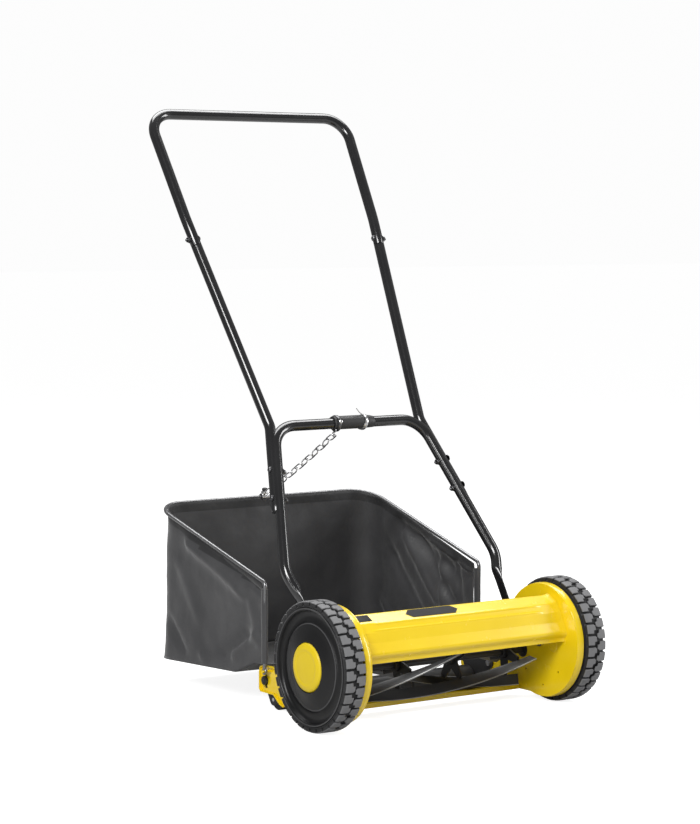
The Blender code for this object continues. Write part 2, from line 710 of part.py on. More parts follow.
def build_spider(index):
    """One five-armed plate that carries the blades."""
    x = (index - (SPIDERS - 1) / 2) * SPIDER_SPACING
    tip = REEL_RADIUS - BLADE_WIDTH - GAP
    outline = []
    for blade in range(BLADES):
        angle = blade_angle(x, blade)
        along = Vector((math.cos(angle), math.sin(angle)))
        across = Vector((-along.y, along.x)) * SPIDER_ARM / 2
        outline += [tuple(along * tip - across), tuple(along * tip + across)]
        valley = angle + math.pi / BLADES
        outline.append((SPIDER_HUB_RADIUS * math.cos(valley), SPIDER_HUB_RADIUS * math.sin(valley)))
    bore = circle(SHAFT_RADIUS + GAP, sides=20)
    flat(f"reel_spider_{index + 1}", [outline, bore], SPIDER_THICK, BLACK_BLADE, (x, REEL_Y, REEL_Z))


def build_shaft():
    """The reel's shaft, slotted at both ends for the drive keys."""
    end = GEAR_INNER_X + GEAR_WIDTH + 0.003
    shaft = rod("reel_shaft", (-end, REEL_Y, REEL_Z), (end, REEL_Y, REEL_Z), SHAFT_RADIUS, STEEL, 20)
    for side, word in SIDES:
        centre = (side * (GEAR_INNER_X + GEAR_WIDTH / 2), REEL_Y, REEL_Z)
        slot_size = (KEY_LENGTH + 2 * GAP, KEY_WIDTH + 2 * GAP, 4 * SHAFT_RADIUS)
        slot = box(f"key_slot_{word}", slot_size, centre, STEEL, (GEAR_DIRECTION, 0, 0))
        combine(shaft, slot, "DIFFERENCE")
        key_size = (KEY_LENGTH, KEY_WIDTH, KEY_SPAN)
        box(f"drive_key_{word}", key_size, centre, STEEL, (GEAR_DIRECTION, 0, 0))


def keyed_bore():
    """The pinion's bore with the two notches that the drive key turns it by."""
    radius, deep, half = SHAFT_RADIUS + GAP, KEY_SPAN / 2 + GAP, KEY_WIDTH / 2 + GAP
    outline = []
    edge = math.asin(half / radius)
    for notch in range(2):
        middle = GEAR_DIRECTION + math.pi / 2 + math.pi * notch
        along = Vector((math.cos(middle), math.sin(middle)))
        across = Vector((-along.y, along.x)) * half
        outline += [tuple(along * deep - across), tuple(along * deep + across)]
        for step in range(9):
            angle = middle + edge + (math.pi - 2 * edge) * step / 8
            outline.append((radius * math.cos(angle), radius * math.sin(angle)))
    return outline


def build_drive(side, word):
    """The pinion in the wheel's ring gear and the bush that the reel's shaft runs in."""
    radii = (
        PINION_PITCH_RADIUS - MODULE,
        PINION_PITCH_RADIUS * 0.97,
        PINION_PITCH_RADIUS,
        PINION_PITCH_RADIUS + 0.8 * MODULE,
    )
    teeth = gear_outline(PINION_TEETH, PINION_PITCH_RADIUS, radii, 1, GEAR_DIRECTION)
    centre = (side * (GEAR_INNER_X + GEAR_WIDTH / 2), REEL_Y, REEL_Z)
    flat(f"pinion_{word}", [teeth, keyed_bore()], GEAR_WIDTH, STEEL, centre)
    face = PLATE_OUTER_X + GAP
    bush = [
        (BUSH_FLANGE_RADIUS, face + BUSH_FLANGE_THICK),
        (BUSH_FLANGE_RADIUS, face),
        (BUSH_RADIUS, face),
        (BUSH_RADIUS, PLATE_INNER_X),
        (SHAFT_RADIUS + GAP, PLATE_INNER_X),
        (SHAFT_RADIUS + GAP, face + BUSH_FLANGE_THICK),
    ]
    turned(f"reel_bush_{word}", bush, SOFT_BLACK, (0, REEL_Y, REEL_Z), side, steps=24)


# ---------------------------------------------------------------- handle
def through_bolt(name, centre, along, grip):
    """A bolt and its nut as one piece: two heads a grip apart on a plain shank."""
    inner, outer = grip / 2, grip / 2 + BOLT_HEAD_THICK
    profile = [
        (0, outer),
        (BOLT_HEAD_RADIUS, outer),
        (BOLT_HEAD_RADIUS, inner),
        (BOLT_RADIUS, inner),
        (BOLT_RADIUS, -inner),
        (BOLT_HEAD_RADIUS, -inner),
        (BOLT_HEAD_RADIUS, -outer),
        (0, -outer),
    ]
    bolt = turned(name, profile, STEEL, centre, steps=8)
    bolt.rotation_euler = Vector(along).to_track_quat("Z", "Y").to_euler()


def bolt_hole(name, centre, along):
    """A guide that cuts a bolt's hole through a tube."""
    centre, along = Vector(centre), Vector(along).normalized()
    reach = along * 4 * TUBE_RADIUS
    return rod(name, centre - reach, centre + reach, BOLT_RADIUS + BOLT_HOLE_CLEARANCE, STEEL, 8)


def leg_outwards(side):
    """The direction square to a leg, outwards in the handle's plane."""
    up = (on_handle(*CORNER, side) - on_handle(*LEG_BEND, side)).normalized()
    out = up.cross(PLANE_NORMAL)
    return out if out.x * side > 0 else -out


def leg_point(side, height):
    """The point of a leg's centre line at a height."""
    low, high = on_handle(*LEG_BEND, side), on_handle(*CORNER, side)
    return low.lerp(high, (height - LEG_BEND[1]) / (CORNER[1] - LEG_BEND[1]))


def lower_handle_path():
    """The centre line of the lower handle, foot to foot."""
    foot_x = BETWEEN_PLATES - FOOT_THICK / 2
    stops = []
    for side in (-1, 1):
        leg = [
            (on_handle(foot_x, FOOT_TOP_Z - 0.012, side), 0),
            (on_handle(foot_x + 0.0035, FOOT_TOP_Z + 0.012, side), 0.05),
            (on_handle(*LEG_BEND, side), 0.07),
            (on_handle(*CORNER, side), CORNER_BEND),
        ]
        stops += leg if side < 0 else reversed(leg)
    return bend_path(stops)


def build_lower_handle():
    """The U-shaped lower handle with a flattened foot bolted to each side plate."""
    path = lower_handle_path()
    handle = tube("lower_handle", path, TUBE_RADIUS, BLACK_TUBE, as_mesh=True)
    hole = BOLT_RADIUS + BOLT_HOLE_CLEARANCE
    for side, word in SIDES:
        foot_x = side * (BETWEEN_PLATES - FOOT_THICK / 2)
        outline = hull_of_circles([(foot_spot(0), FOOT_HALF_WIDTH), (foot_spot(FOOT_LENGTH), FOOT_HALF_WIDTH)], 16)
        holes = [circle(hole, foot_spot(distance), 8) for distance in FOOT_BOLTS]
        foot = flat(f"foot_{word}", [outline, *holes], FOOT_THICK, BLACK_TUBE, (foot_x, 0, 0), as_mesh=True)
        combine(handle, foot, "UNION")
    hollow = tube("lower_handle_hollow", path[1:-1], TUBE_RADIUS - TUBE_WALL, BLACK_TUBE, as_mesh=True)
    combine(handle, hollow, "DIFFERENCE")
    return handle


def middle_tube_path(side):
    """A middle tube's centre line, from beside the leg to its joint with the upper handle."""
    shift = leg_outwards(side) * NEST_OUT + PLANE_NORMAL * NEST_BACK
    start = leg_point(side, MIDDLE_START_Z) + shift
    bend = on_handle(*CORNER, side) + shift
    end = on_handle(*TUBE_JOINT, side)
    return bend_path([(start, 0), (bend, SPLAY_BEND), (end, 0)], steps=4)


def build_middle_tubes(lower_handle):
    """The two tubes that carry the upper handle, nested against the lower handle's legs."""
    clearance = tube("lower_handle_clearance", lower_handle_path(), TUBE_RADIUS + GAP, BLACK_TUBE, as_mesh=True)
    for side, word in SIDES:
        path = middle_tube_path(side)
        middle = tube(f"middle_tube_{word}", path, TUBE_RADIUS, BLACK_TUBE, as_mesh=True)
        ahead = (path[-1] - path[-2]).normalized()
        below = (path[0] - path[1]).normalized() * TUBE_RADIUS
        hollow_path = [path[0] + below, *path[1:-1], path[-1] - ahead * SPIGOT_PLUG]
        hollow_name = f"middle_hollow_{word}"
        hollow = tube(hollow_name, hollow_path, TUBE_RADIUS - TUBE_WALL, BLACK_TUBE, as_mesh=True)
        combine(hollow, clearance, "UNION")
        combine(middle, hollow, "DIFFERENCE")
        out = leg_outwards(side)
        for number, height in enumerate(LEG_BOLT_HEIGHTS, start=1):
            centre = leg_point(side, height) + (out * NEST_OUT + PLANE_NORMAL * NEST_BACK * 0.5) / 2
            for target in (middle, lower_handle):
                cutter = bolt_hole(f"hole_{target.name}_{word}_{number}", centre, out)
                combine(target, cutter, "DIFFERENCE")
            grip = 2 * TUBE_RADIUS + NEST_OUT + 2 * GAP
            through_bolt(f"leg_bolt_{word}_{number}", centre, out, grip)
        spigot = rod(
            f"spigot_{word}",
            path[-1] - ahead * 0.004,
            path[-1] + ahead * SPIGOT_LENGTH,
            SPIGOT_RADIUS,
            BLACK_TUBE,
        )
        combine(middle, spigot, "UNION")
        bolt_centre = path[-1] + ahead * SPIGOT_LENGTH * 0.5
        cutter = bolt_hole(f"hole_spigot_{word}", bolt_centre, ahead.cross(PLANE_NORMAL))
        combine(middle, cutter, "DIFFERENCE")


def build_upper_handle():
    """The inverted U that is held, slipped over the middle tubes' spigots."""
    stops = []
    starts = {}
    for side, word in SIDES:
        path = middle_tube_path(side)
        ahead = (path[-1] - path[-2]).normalized()
        starts[word] = (path[-1] + ahead * GAP, ahead)
        leg = [
            (path[-1] + ahead * GAP, 0),
            (path[-1] + ahead * (SPIGOT_LENGTH + 0.030), 0.4),
            (on_handle(*HANDLE_TOP, side), TOP_BEND),
        ]
        stops += leg if side < 0 else reversed(leg)
    path = bend_path(stops)
    upper = tube("upper_handle", path, TUBE_RADIUS, BLACK_TUBE, as_mesh=True)
    trim = SPIGOT_LENGTH * 0.9
    first = path[0] + starts["left"][1] * trim
    last = path[-1] + starts["right"][1] * trim
    hollow_path = [first, *path[1:-1], last]
    hollow = tube("upper_hollow", hollow_path, TUBE_RADIUS - TUBE_WALL, BLACK_TUBE, as_mesh=True)
    for side, word in SIDES:
        start, ahead = starts[word]
        bore_end = start + ahead * (SPIGOT_LENGTH + GAP)
        bore = rod(f"bore_{word}", start - ahead * 0.01, bore_end, SPIGOT_RADIUS + GAP, BLACK_TUBE)
        across = ahead.cross(PLANE_NORMAL)
        centre = start + ahead * (SPIGOT_LENGTH * 0.5 - GAP)
        combine(bore, bolt_hole(f"hole_upper_{word}", centre, across), "UNION")
        combine(hollow, bore, "UNION")
        through_bolt(f"joint_bolt_{word}", centre, across, 2 * (TUBE_RADIUS + GAP))
    combine(upper, hollow, "DIFFERENCE")


def build_foot_bolts():
    """The bolts that hold the handle's feet to the side plates."""
    grip = PLATE_THICK + FOOT_THICK + 3 * GAP
    for side, word in SIDES:
        for number, distance in enumerate(FOOT_BOLTS, start=1):
            y, z = foot_spot(distance)
            centre = (side * (PLATE_OUTER_X + GAP - grip / 2), y, z)
            through_bolt(f"foot_bolt_{word}_{number}", centre, (-side, 0, 0), grip)


# ---------------------------------------------------------------- chain
def crossbar_centre(x=0.0):
    """A point on the lower handle's crossbar."""
    return Vector((x, on_handle(*CORNER).y, CORNER[1]))


def eye_centre():
    """Where the chain hangs from its hook under the crossbar."""
    drop = TUBE_RADIUS + SLEEVE_WALL + HOOK_WALL + 2 * GAP + EYE_RADIUS - 0.0012
    return crossbar_centre(HOOK_X) - Vector((0, 0, drop))


def build_crossbar_fittings():
    """The sleeve on the crossbar and the hook band that the chain hangs from."""
    inner, outer = TUBE_RADIUS + GAP, TUBE_RADIUS + GAP + SLEEVE_WALL
    low, high = SLEEVE_ENDS
    sleeve = [
        (outer - 0.002, high),
        (outer, high - 0.012),
        (outer, low + 0.002),
        (outer - 0.002, low),
        (inner, low),
        (inner, high),
    ]
    turned("crossbar_sleeve", sleeve, SOFT_BLACK, crossbar_centre(), steps=24)
    band_inner = outer + GAP
    half = HOOK_WIDTH / 2
    band = [
        (band_inner + HOOK_WALL, half),
        (band_inner + HOOK_WALL, -half),
        (band_inner, -half),
        (band_inner, half),
    ]
    hook = turned("chain_hook", band, STEEL, crossbar_centre(HOOK_X), steps=24)
    rings = [circle(EYE_RADIUS, sides=16), circle(EYE_HOLE, sides=16)]
    eye = flat("hook_eye", rings, EYE_THICK, STEEL, eye_centre(), as_mesh=True)
    combine(hook, eye, "UNION")


def link_path(centre, length, along, across):
    """The closed centre line of one chain link."""
    end_radius = (LINK_WIDTH - LINK_WIRE) / 2
    straight = length / 2 - LINK_WIRE / 2 - end_radius
    points = []
    for sign in (1, -1):
        for step in range(4):
            angle = math.pi * (step / 3 - 0.5)
            reach = along * (sign * (straight + end_radius * math.cos(angle)))
            points.append(centre + reach + across * (sign * end_radius * math.sin(angle)))
    return points


def chain_end():
    """Where the chain's centre line is aimed: the clip's front face."""
    return Vector((0, ROD_REAR[0] - CLIP_SIZE[1] / 2, ROD_REAR[1] + ROD_RADIUS + CLIP_SIZE[2] / 2))


def build_chain():
    """The chain from the crossbar's hook to the catcher's rim, its links pressed together."""
    start = eye_centre()
    run = chain_end() - start
    overall = run.length + LINK_WIRE / 2 - CHAIN_CLEARANCE
    length = (overall + (LINKS - 1) * (2 * LINK_WIRE - LINK_BITE)) / LINKS
    pitch = length - 2 * LINK_WIRE + LINK_BITE
    along = run.normalized()
    sideways = Vector((1, 0, 0)) - along * along.x
    sideways.normalize()
    upright = along.cross(sideways)
    first = None
    for number in range(LINKS):
        centre = start + along * ((length - LINK_WIRE) / 2 + pitch * number)
        across = sideways if number % 2 == 0 else upright
        name = "chain" if first is None else f"link_{number + 1}"
        path = link_path(centre, length, along, across)
        link = tube(name, path, LINK_WIRE / 2, STEEL, 6, as_mesh=True, cyclic=True)
        if first is None:
            first = link
        else:
            combine(first, link, "UNION")
    move_origin(first, start)


# ---------------------------------------------------------------- roller
def build_roller():
    """The ground roller on its axle, in two brackets that pivot on the side plates."""
    bracket_inner = BETWEEN_PLATES - BRACKET_THICK
    bore = ROLLER_AXLE_RADIUS + GAP
    half = ROLLER_HALF_LENGTH
    shape = [
        (ROLLER_RADIUS - 0.002, half),
        (ROLLER_RADIUS, half - 0.002),
        (ROLLER_RADIUS, -half + 0.002),
        (ROLLER_RADIUS - 0.002, -half),
        (bore, -half),
        (bore, half),
    ]
    steps = 24
    scale = 1 / math.cos(math.pi / steps)
    shape = [(radius * scale, along) for radius, along in shape]
    roller = turned("roller", shape, SOFT_BLACK, (0, ROLLER_Y, ROLLER_Z), steps=steps)
    flat_side_down(roller, steps)
    end = BETWEEN_PLATES
    rod("roller_axle", (-end, ROLLER_Y, ROLLER_Z), (end, ROLLER_Y, ROLLER_Z), ROLLER_AXLE_RADIUS, STEEL)
    pivot, axle, knob = (ADJUST_Y, ADJUST_Z), (ROLLER_Y, ROLLER_Z), (KNOB_Y, KNOB_Z)
    for side, word in SIDES:
        outlines = [hull_of_circles([(spot, BRACKET_EYE) for spot in (pivot, axle, knob)], 16)]
        outlines += [circle(bore, spot, 16) for spot in (pivot, axle, knob)]
        middle = (side * (bracket_inner + BRACKET_THICK / 2), 0, 0)
        bracket = flat(f"roller_bracket_{word}", outlines, BRACKET_THICK, SOFT_BLACK, middle, as_mesh=True)
        bracket.data.transform(Matrix.Translation((-ADJUST_Y, -ADJUST_Z, 0)))
        bracket.location = (middle[0], ADJUST_Y, ADJUST_Z)
        build_stud(f"adjuster_pivot_{word}", side, pivot, 0.008, 0.004, STEEL)
        build_stud(f"height_knob_{word}", side, knob, KNOB_RADIUS, KNOB_THICK, SOFT_BLACK)


def build_stud(name, side, spot, head_radius, head_thick, mat):
    """A headed stud through a side plate and a roller bracket, with a nut inside."""
    face = PLATE_OUTER_X + GAP
    inside = BETWEEN_PLATES - BRACKET_THICK - GAP
    profile = [
        (0, face + head_thick),
        (head_radius - 0.001, face + head_thick),
        (head_radius, face + head_thick - 0.001),
        (head_radius, face),
        (ROLLER_AXLE_RADIUS, face),
        (ROLLER_AXLE_RADIUS, inside),
        (0.0065, inside),
        (0.0065, inside - 0.003),
        (0, inside - 0.003),
    ]
    turned(name, profile, mat, (0, *spot), side, steps=12)


# ---------------------------------------------------------------- grass catcher
def build_catcher_frame():
    """The bent rod that holds the catcher open, with the eyes it hangs by."""
    stops = []
    for side in (-1, 1):
        leg = [
            ((side * ROD_FRONT_X, BAG_PIVOT_Y, BAG_PIVOT_Z + BAG_EYE_RADIUS - 0.001), 0),
            ((side * ROD_FRONT_X, *ROD_FRONT), ROD_FRONT_BEND),
            ((side * ROD_REAR_X, *ROD_REAR), ROD_REAR_BEND),
        ]
        stops += leg if side < 0 else reversed(leg)
    frame = tube("catcher_frame", bend_path(stops), ROD_RADIUS, BLACK_TUBE, 8, as_mesh=True)
    move_origin(frame, (0, BAG_PIVOT_Y, BAG_PIVOT_Z))
    rings = [circle(BAG_EYE_RADIUS, sides=16), circle(BAG_PIN_RADIUS + GAP, sides=16)]
    for side, word in SIDES:
        centre = (side * ROD_FRONT_X, BAG_PIVOT_Y, BAG_PIVOT_Z)
        eye = flat(f"catcher_eye_{word}", rings, BAG_EYE_WIDTH, BLACK_TUBE, centre, as_mesh=True)
        combine(frame, eye, "UNION")


def build_catcher_bag():
    """The fabric catcher: sides, back and bottom, open at the top and the front."""
    inset = ROD_RADIUS + 3 * GAP
    front_top = (BAG_BOTTOM[0][0], ROD_FRONT[1] - 0.004)
    rear_top = (ROD_REAR[0] - inset, ROD_REAR[1])
    outline = [*BAG_BOTTOM, rear_top, front_top]
    front_half, rear_half = ROD_FRONT_X - inset, ROD_REAR_X - inset
    front_y, rear_y = BAG_BOTTOM[0][0], rear_top[0]
    bm = bmesh.new()
    ring = [bm.verts.new((-1, y, z)) for y, z in outline]
    side_face = bmesh.ops.contextual_create(bm, geom=ring)["faces"]
    swept = bmesh.ops.extrude_face_region(bm, geom=side_face, use_keep_orig=True)
    moved = [item for item in swept["geom"] if isinstance(item, bmesh.types.BMVert)]
    bmesh.ops.translate(bm, verts=moved, vec=(2, 0, 0))
    bm.normal_update()
    open_faces = [face for face in bm.faces if is_open_face(face, front_y)]
    bmesh.ops.delete(bm, geom=open_faces, context="FACES")
    for vert in bm.verts:
        share = (vert.co.y - front_y) / (rear_y - front_y)
        vert.co.x *= front_half + (rear_half - front_half) * share
    corners = [edge for edge in bm.edges if is_rear_corner(edge)]
    rounding = ROD_REAR_BEND - inset
    bmesh.ops.bevel(bm, geom=corners, offset=rounding, segments=5, profile=0.5, affect="EDGES")
    bmesh.ops.recalc_face_normals(bm, faces=bm.faces)
    origin = Vector((0, BAG_PIVOT_Y, BAG_PIVOT_Z))
    bmesh.ops.translate(bm, verts=bm.verts, vec=-origin)
    bag = add("catcher_bag", mesh_from(bm, "catcher_bag"), FABRIC, origin)
    solidify = bag.modifiers.new("cloth", "SOLIDIFY")
    solidify.thickness = BAG_WALL
    solidify.offset = -1
    solidify.use_even_offset = True


def is_open_face(face, front_y):
    """Whether a face of the catcher's block is its open front or its open top."""
    if len(face.verts) != 4:
        return False
    middle = face.calc_center_median()
    at_front = abs(middle.y - front_y) < 0.001
    at_top = middle.z > ROD_FRONT[1] + 0.01 and middle.y < ROD_REAR[0] - 0.1
    return at_front or at_top


def is_rear_corner(edge):
    """Whether an edge is one of the catcher's two upright rear corners."""
    low, high = sorted((vert.co for vert in edge.verts), key=lambda place: place.z)
    return high.z - low.z > 0.2 and low.y > BAG_BOTTOM[-1][0] - 0.001


def build_chain_clip():
    """The clip on top of the catcher's rear rim, where the chain ends."""
    centre = (0, ROD_REAR[0], ROD_REAR[1] + ROD_RADIUS + GAP + CLIP_SIZE[2] / 2)
    clip = box("chain_clip", CLIP_SIZE, centre, SOFT_BLACK)
    move_origin(clip, (0, BAG_PIVOT_Y, BAG_PIVOT_Z))


# ---------------------------------------------------------------- the whole mower
for wheel_side, wheel_word in SIDES:
    build_tyre(wheel_side, wheel_word)
    build_wheel(wheel_side, wheel_word)
    build_hub(wheel_side, wheel_word)
    build_side_plate(wheel_side, wheel_word)
    build_drive(wheel_side, wheel_word)
build_cover()
build_cutting_bar()
for blade_number in range(BLADES):
    build_blade(blade_number)
for spider_number in range(SPIDERS):
    build_spider(spider_number)
build_shaft()
lower = build_lower_handle()
build_middle_tubes(lower)
build_upper_handle()
build_foot_bolts()
build_crossbar_fittings()
build_chain()
build_roller()
build_catcher_frame()
build_catcher_bag()
build_chain_clip()
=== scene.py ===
# %% [markdown]
# Push reel mower, in fine meshes and finishes.
# The mower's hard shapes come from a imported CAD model, which is loaded first and never moved.
# Each step below models one piece finely with bmesh operators, gives it a node material,
# and lets it ride on the CAD body that it belongs to, so that it moves with the mower's joints.

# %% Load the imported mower
import math

import bmesh
import bpy
from mathutils import Matrix, Vector, noise


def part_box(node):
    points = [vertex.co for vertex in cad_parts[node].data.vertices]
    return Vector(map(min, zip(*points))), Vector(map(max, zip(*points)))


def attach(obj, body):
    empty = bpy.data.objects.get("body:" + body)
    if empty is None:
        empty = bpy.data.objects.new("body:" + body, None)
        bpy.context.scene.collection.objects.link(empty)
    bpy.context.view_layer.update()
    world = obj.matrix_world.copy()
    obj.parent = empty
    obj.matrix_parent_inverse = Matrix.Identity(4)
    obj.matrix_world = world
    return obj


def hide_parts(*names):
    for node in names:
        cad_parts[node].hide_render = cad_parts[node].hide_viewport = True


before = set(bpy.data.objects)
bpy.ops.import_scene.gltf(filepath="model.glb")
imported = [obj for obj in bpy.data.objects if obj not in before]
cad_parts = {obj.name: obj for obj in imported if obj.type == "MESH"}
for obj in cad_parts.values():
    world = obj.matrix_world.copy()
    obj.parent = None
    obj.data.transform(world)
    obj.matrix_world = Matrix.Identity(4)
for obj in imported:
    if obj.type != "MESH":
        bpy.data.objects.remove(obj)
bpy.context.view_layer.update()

tyre_low, tyre_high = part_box("tyre_left")
AXLE = Vector((0, (tyre_low.y + tyre_high.y) / 2, (tyre_low.z + tyre_high.z) / 2))
print("nodes:", len(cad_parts), "axle line:", tuple(round(v, 4) for v in AXLE))

# %% [markdown]
# Everything is modelled from the wheels' axle line, as the CAD is, and shifted to its place
# only when a piece is finished. The sides are left, at -X, and right, at +X.

# %% Sides
SIDES = ((-1, "left"), (1, "right"))
UP = Vector((0, 0, 1))
X_AXIS = Vector((1, 0, 0))
FULL_TURN = 2 * math.pi


def clamp(value):
    """The value, kept between 0 and 1."""
    return max(0.0, min(1.0, value))


# %% Helper that finishes a piece
def finish_piece(name, bm, body, finishes, stands_for=(), sharp=35.0, flat_sided=False):
    bmesh.ops.translate(bm, verts=bm.verts, vec=AXLE)
    mesh = bpy.data.meshes.new(name)
    bm.to_mesh(mesh)
    bm.free()
    mesh.shade_smooth()
    mesh.set_sharp_from_angle(angle=math.radians(sharp))
    for finish in finishes:
        mesh.materials.append(finish)
    piece = bpy.data.objects.new(name, mesh)
    bpy.context.scene.collection.objects.link(piece)
    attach(piece, body)
    if stands_for:
        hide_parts(*stands_for)
    if flat_sided:
        even = piece.modifiers.new("even shading", "WEIGHTED_NORMAL")
        even.keep_sharp = True
        even.weight = 90
    print(f"{name}: {len(mesh.polygons)} faces on {body}")
    return piece


# %% [markdown]
# An extrude gives back everything that it made. These helpers pick out what the next step
# needs: the new vertices, the edges between them, or a line of edges to start from.

# %% Helpers for lines and extrudes
def new_verts(swept):
    return [g for g in swept["geom"] if isinstance(g, bmesh.types.BMVert)]


def new_edges(swept):
    fresh = set(new_verts(swept))
    return [
        g for g in swept["geom"]
        if isinstance(g, bmesh.types.BMEdge) and fresh.issuperset(g.verts)
    ]


def open_line(bm, points):
    verts = [bm.verts.new(point) for point in points]
    return verts, [bm.edges.new(pair) for pair in zip(verts, verts[1:])]


def divide_line(line, length):
    """Adds points to a line, so that its pieces are about as long as asked."""
    fine_line = [line[0]]
    for start, end in zip(line, line[1:]):
        pieces = max(1, round((end - start).length / length))
        fine_line += [start.lerp(end, (i + 1) / pieces) for i in range(pieces)]
    return fine_line


def distances_along(line):
    walked = [0.0]
    for start, end in zip(line, line[1:]):
        walked.append(walked[-1] + (end - start).length)
    return walked


# %% [markdown]
# Wheels, caps, knobs and rollers are turned shapes: a profile of a few vertices is spun
# about the axle with bmesh.ops.spin. A spin can come out inside out on a mirrored side, so
# the normals are worked out again after its doubles are merged.

# %% Helper that turns a profile about X
def lathe(profile, side=1, steps=96, closed=True):
    bm = bmesh.new()
    verts, edges = open_line(bm, [(along * side, 0, radius) for radius, along in profile])
    if closed:
        edges.append(bm.edges.new((verts[-1], verts[0])))
    bmesh.ops.spin(
        bm, geom=verts + edges, cent=(0, 0, 0), axis=X_AXIS, angle=FULL_TURN,
        steps=steps, use_merge=True,
    )
    bmesh.ops.remove_doubles(bm, verts=bm.verts, dist=0.000002)
    bmesh.ops.recalc_face_normals(bm, faces=bm.faces)
    return bm


def move(bm, vector):
    bmesh.ops.translate(bm, verts=bm.verts, vec=vector)
    return bm


def turn_about(bm, axis, angle):
    turned = Matrix.Rotation(angle, 3, axis)
    bmesh.ops.rotate(bm, cent=(0, 0, 0), matrix=turned, verts=bm.verts)
    return bm


def join(target, other):
    """Adds a second bmesh to the first one and frees it."""
    spare = bpy.data.meshes.new("spare")
    other.to_mesh(spare)
    other.free()
    target.from_mesh(spare)
    bpy.data.meshes.remove(spare)
    return target


# %% [markdown]
# No made edge is perfectly sharp. This helper bevels every edge that turns by more than a
# given angle, which catches the light as a real pressed or moulded edge does.

# %% Helper that rounds sharp edges
def round_edges(bm, offset, segments=2, angle=30.0):
    limit = math.radians(angle)
    edges = [e for e in bm.edges if e.is_manifold and e.calc_face_angle(0) > limit]
    bmesh.ops.bevel(
        bm, geom=edges, offset=offset, offset_type="OFFSET", segments=segments,
        profile=0.5, affect="EDGES", clamp_overlap=True, material=-1,
    )
    return bm


# %% [markdown]
# Tubes, rods and links are a circle that is extruded along a path, one stop at a time, and
# turned by as much as the path turns. Each stop may be widened or flattened. The path itself
# is a list of straight runs whose corners are rounded with arcs.

# %% Helpers for bent tubes
def bend_path(stops, steps=12):
    path = [Vector(stops[0][0])]
    for before, (corner, radius), after in zip(stops, stops[1:], stops[2:]):
        corner = Vector(corner)
        back = (Vector(before[0]) - corner).normalized()
        ahead = (Vector(after[0]) - corner).normalized()
        half = back.angle(ahead) / 2
        reach = radius / math.tan(half)
        centre = corner + (back + ahead).normalized() * (radius / math.sin(half))
        first = corner + back * reach - centre
        axis = first.cross(corner + ahead * reach - centre).normalized()
        for step in range(steps + 1):
            turn = Matrix.Rotation((math.pi - 2 * half) * step / steps, 3, axis)
            path.append(centre + turn @ first)
    path.append(Vector(stops[-1][0]))
    return path


def path_directions(path, closed):
    count = len(path)
    found = []
    for i in range(count):
        before = path[i - 1] if i or closed else path[0]
        after = path[(i + 1) % count] if i < count - 1 or closed else path[-1]
        found.append((after - before).normalized())
    return found


def sweep(path, radius, sides=28, closed=False, scales=None, flat_axis=X_AXIS):
    directions = path_directions(path, closed)
    across = (flat_axis - directions[0] * flat_axis.dot(directions[0])).normalized()
    bm = bmesh.new()
    ring = bmesh.ops.create_circle(bm, cap_ends=False, segments=sides, radius=radius)["verts"]
    edges = list(bm.edges)
    first_ring = edges
    last = Matrix.Identity(4)
    for i, (place, ahead) in enumerate(zip(path, directions)):
        if i:
            swept = bmesh.ops.extrude_edge_only(bm, edges=edges)
            ring, edges = new_verts(swept), new_edges(swept)
            across = directions[i - 1].rotation_difference(ahead) @ across
        wide, thick = scales[i] if scales else (1, 1)
        turn = Matrix((across, ahead.cross(across), ahead)).transposed().to_4x4()
        now = Matrix.Translation(place) @ turn @ Matrix.Diagonal((wide, thick, 1, 1))
        bmesh.ops.transform(bm, matrix=now @ last.inverted(), verts=ring)
        last = now
    if closed:
        bmesh.ops.bridge_loops(bm, edges=first_ring + edges)
    else:
        bmesh.ops.holes_fill(bm, edges=first_ring + edges, sides=0)
    bmesh.ops.recalc_face_normals(bm, faces=bm.faces)
    return bm


# %% [markdown]
# A plate is cut from sheet: an outline and its holes are filled by bmesh.ops.triangle_fill,
# and the face is extruded through the sheet's thickness, along X.

# %% Helper for flat plates
def circle_points(radius, centre, sides=48):
    turn = FULL_TURN / sides
    return [
        (centre[0] + radius * math.cos(turn * i), centre[1] + radius * math.sin(turn * i))
        for i in range(sides)
    ]


def plate(outlines, x, thickness):
    bm = bmesh.new()
    for outline in outlines:
        verts = [bm.verts.new((x, y, z)) for y, z in outline]
        for pair in zip(verts, verts[1:] + verts[:1]):
            bm.edges.new(pair)
    bmesh.ops.triangle_fill(bm, use_beauty=True, use_dissolve=True, edges=bm.edges)
    swept = bmesh.ops.extrude_face_region(bm, geom=bm.faces[:], use_keep_orig=True)
    bmesh.ops.translate(bm, verts=new_verts(swept), vec=(thickness, 0, 0))
    bmesh.ops.recalc_face_normals(bm, faces=bm.faces)
    return bm


# %% [markdown]
# Many small fittings already have the right shape in the CAD. A copy of the node's loose
# triangles is merged into one surface, its flat areas are dissolved, its edges are rounded,
# and the copy stands for the node.

# %% Helper that refines a CAD node
def refined(node, body, finishes, bevel=0.0005, segments=2, angle=30.0):
    bm = bmesh.new()
    bm.from_mesh(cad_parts[node].data)
    bmesh.ops.remove_doubles(bm, verts=bm.verts, dist=0.00001)
    bmesh.ops.dissolve_limit(
        bm, angle_limit=math.radians(1), verts=bm.verts, edges=bm.edges,
        use_dissolve_boundaries=False,
    )
    if bevel:
        round_edges(bm, bevel, segments, angle)
    move(bm, -AXLE)
    return finish_piece(f"{node}_detail", bm, body, finishes, (node,), 40, flat_sided=True)


# %% [markdown]
# ## Finishes
# Effects that several finishes share are node groups with named sockets. A group gives out
# only colours, masks and heights. The Principled shader stays in each material, where its
# constant values are set on its own sockets.

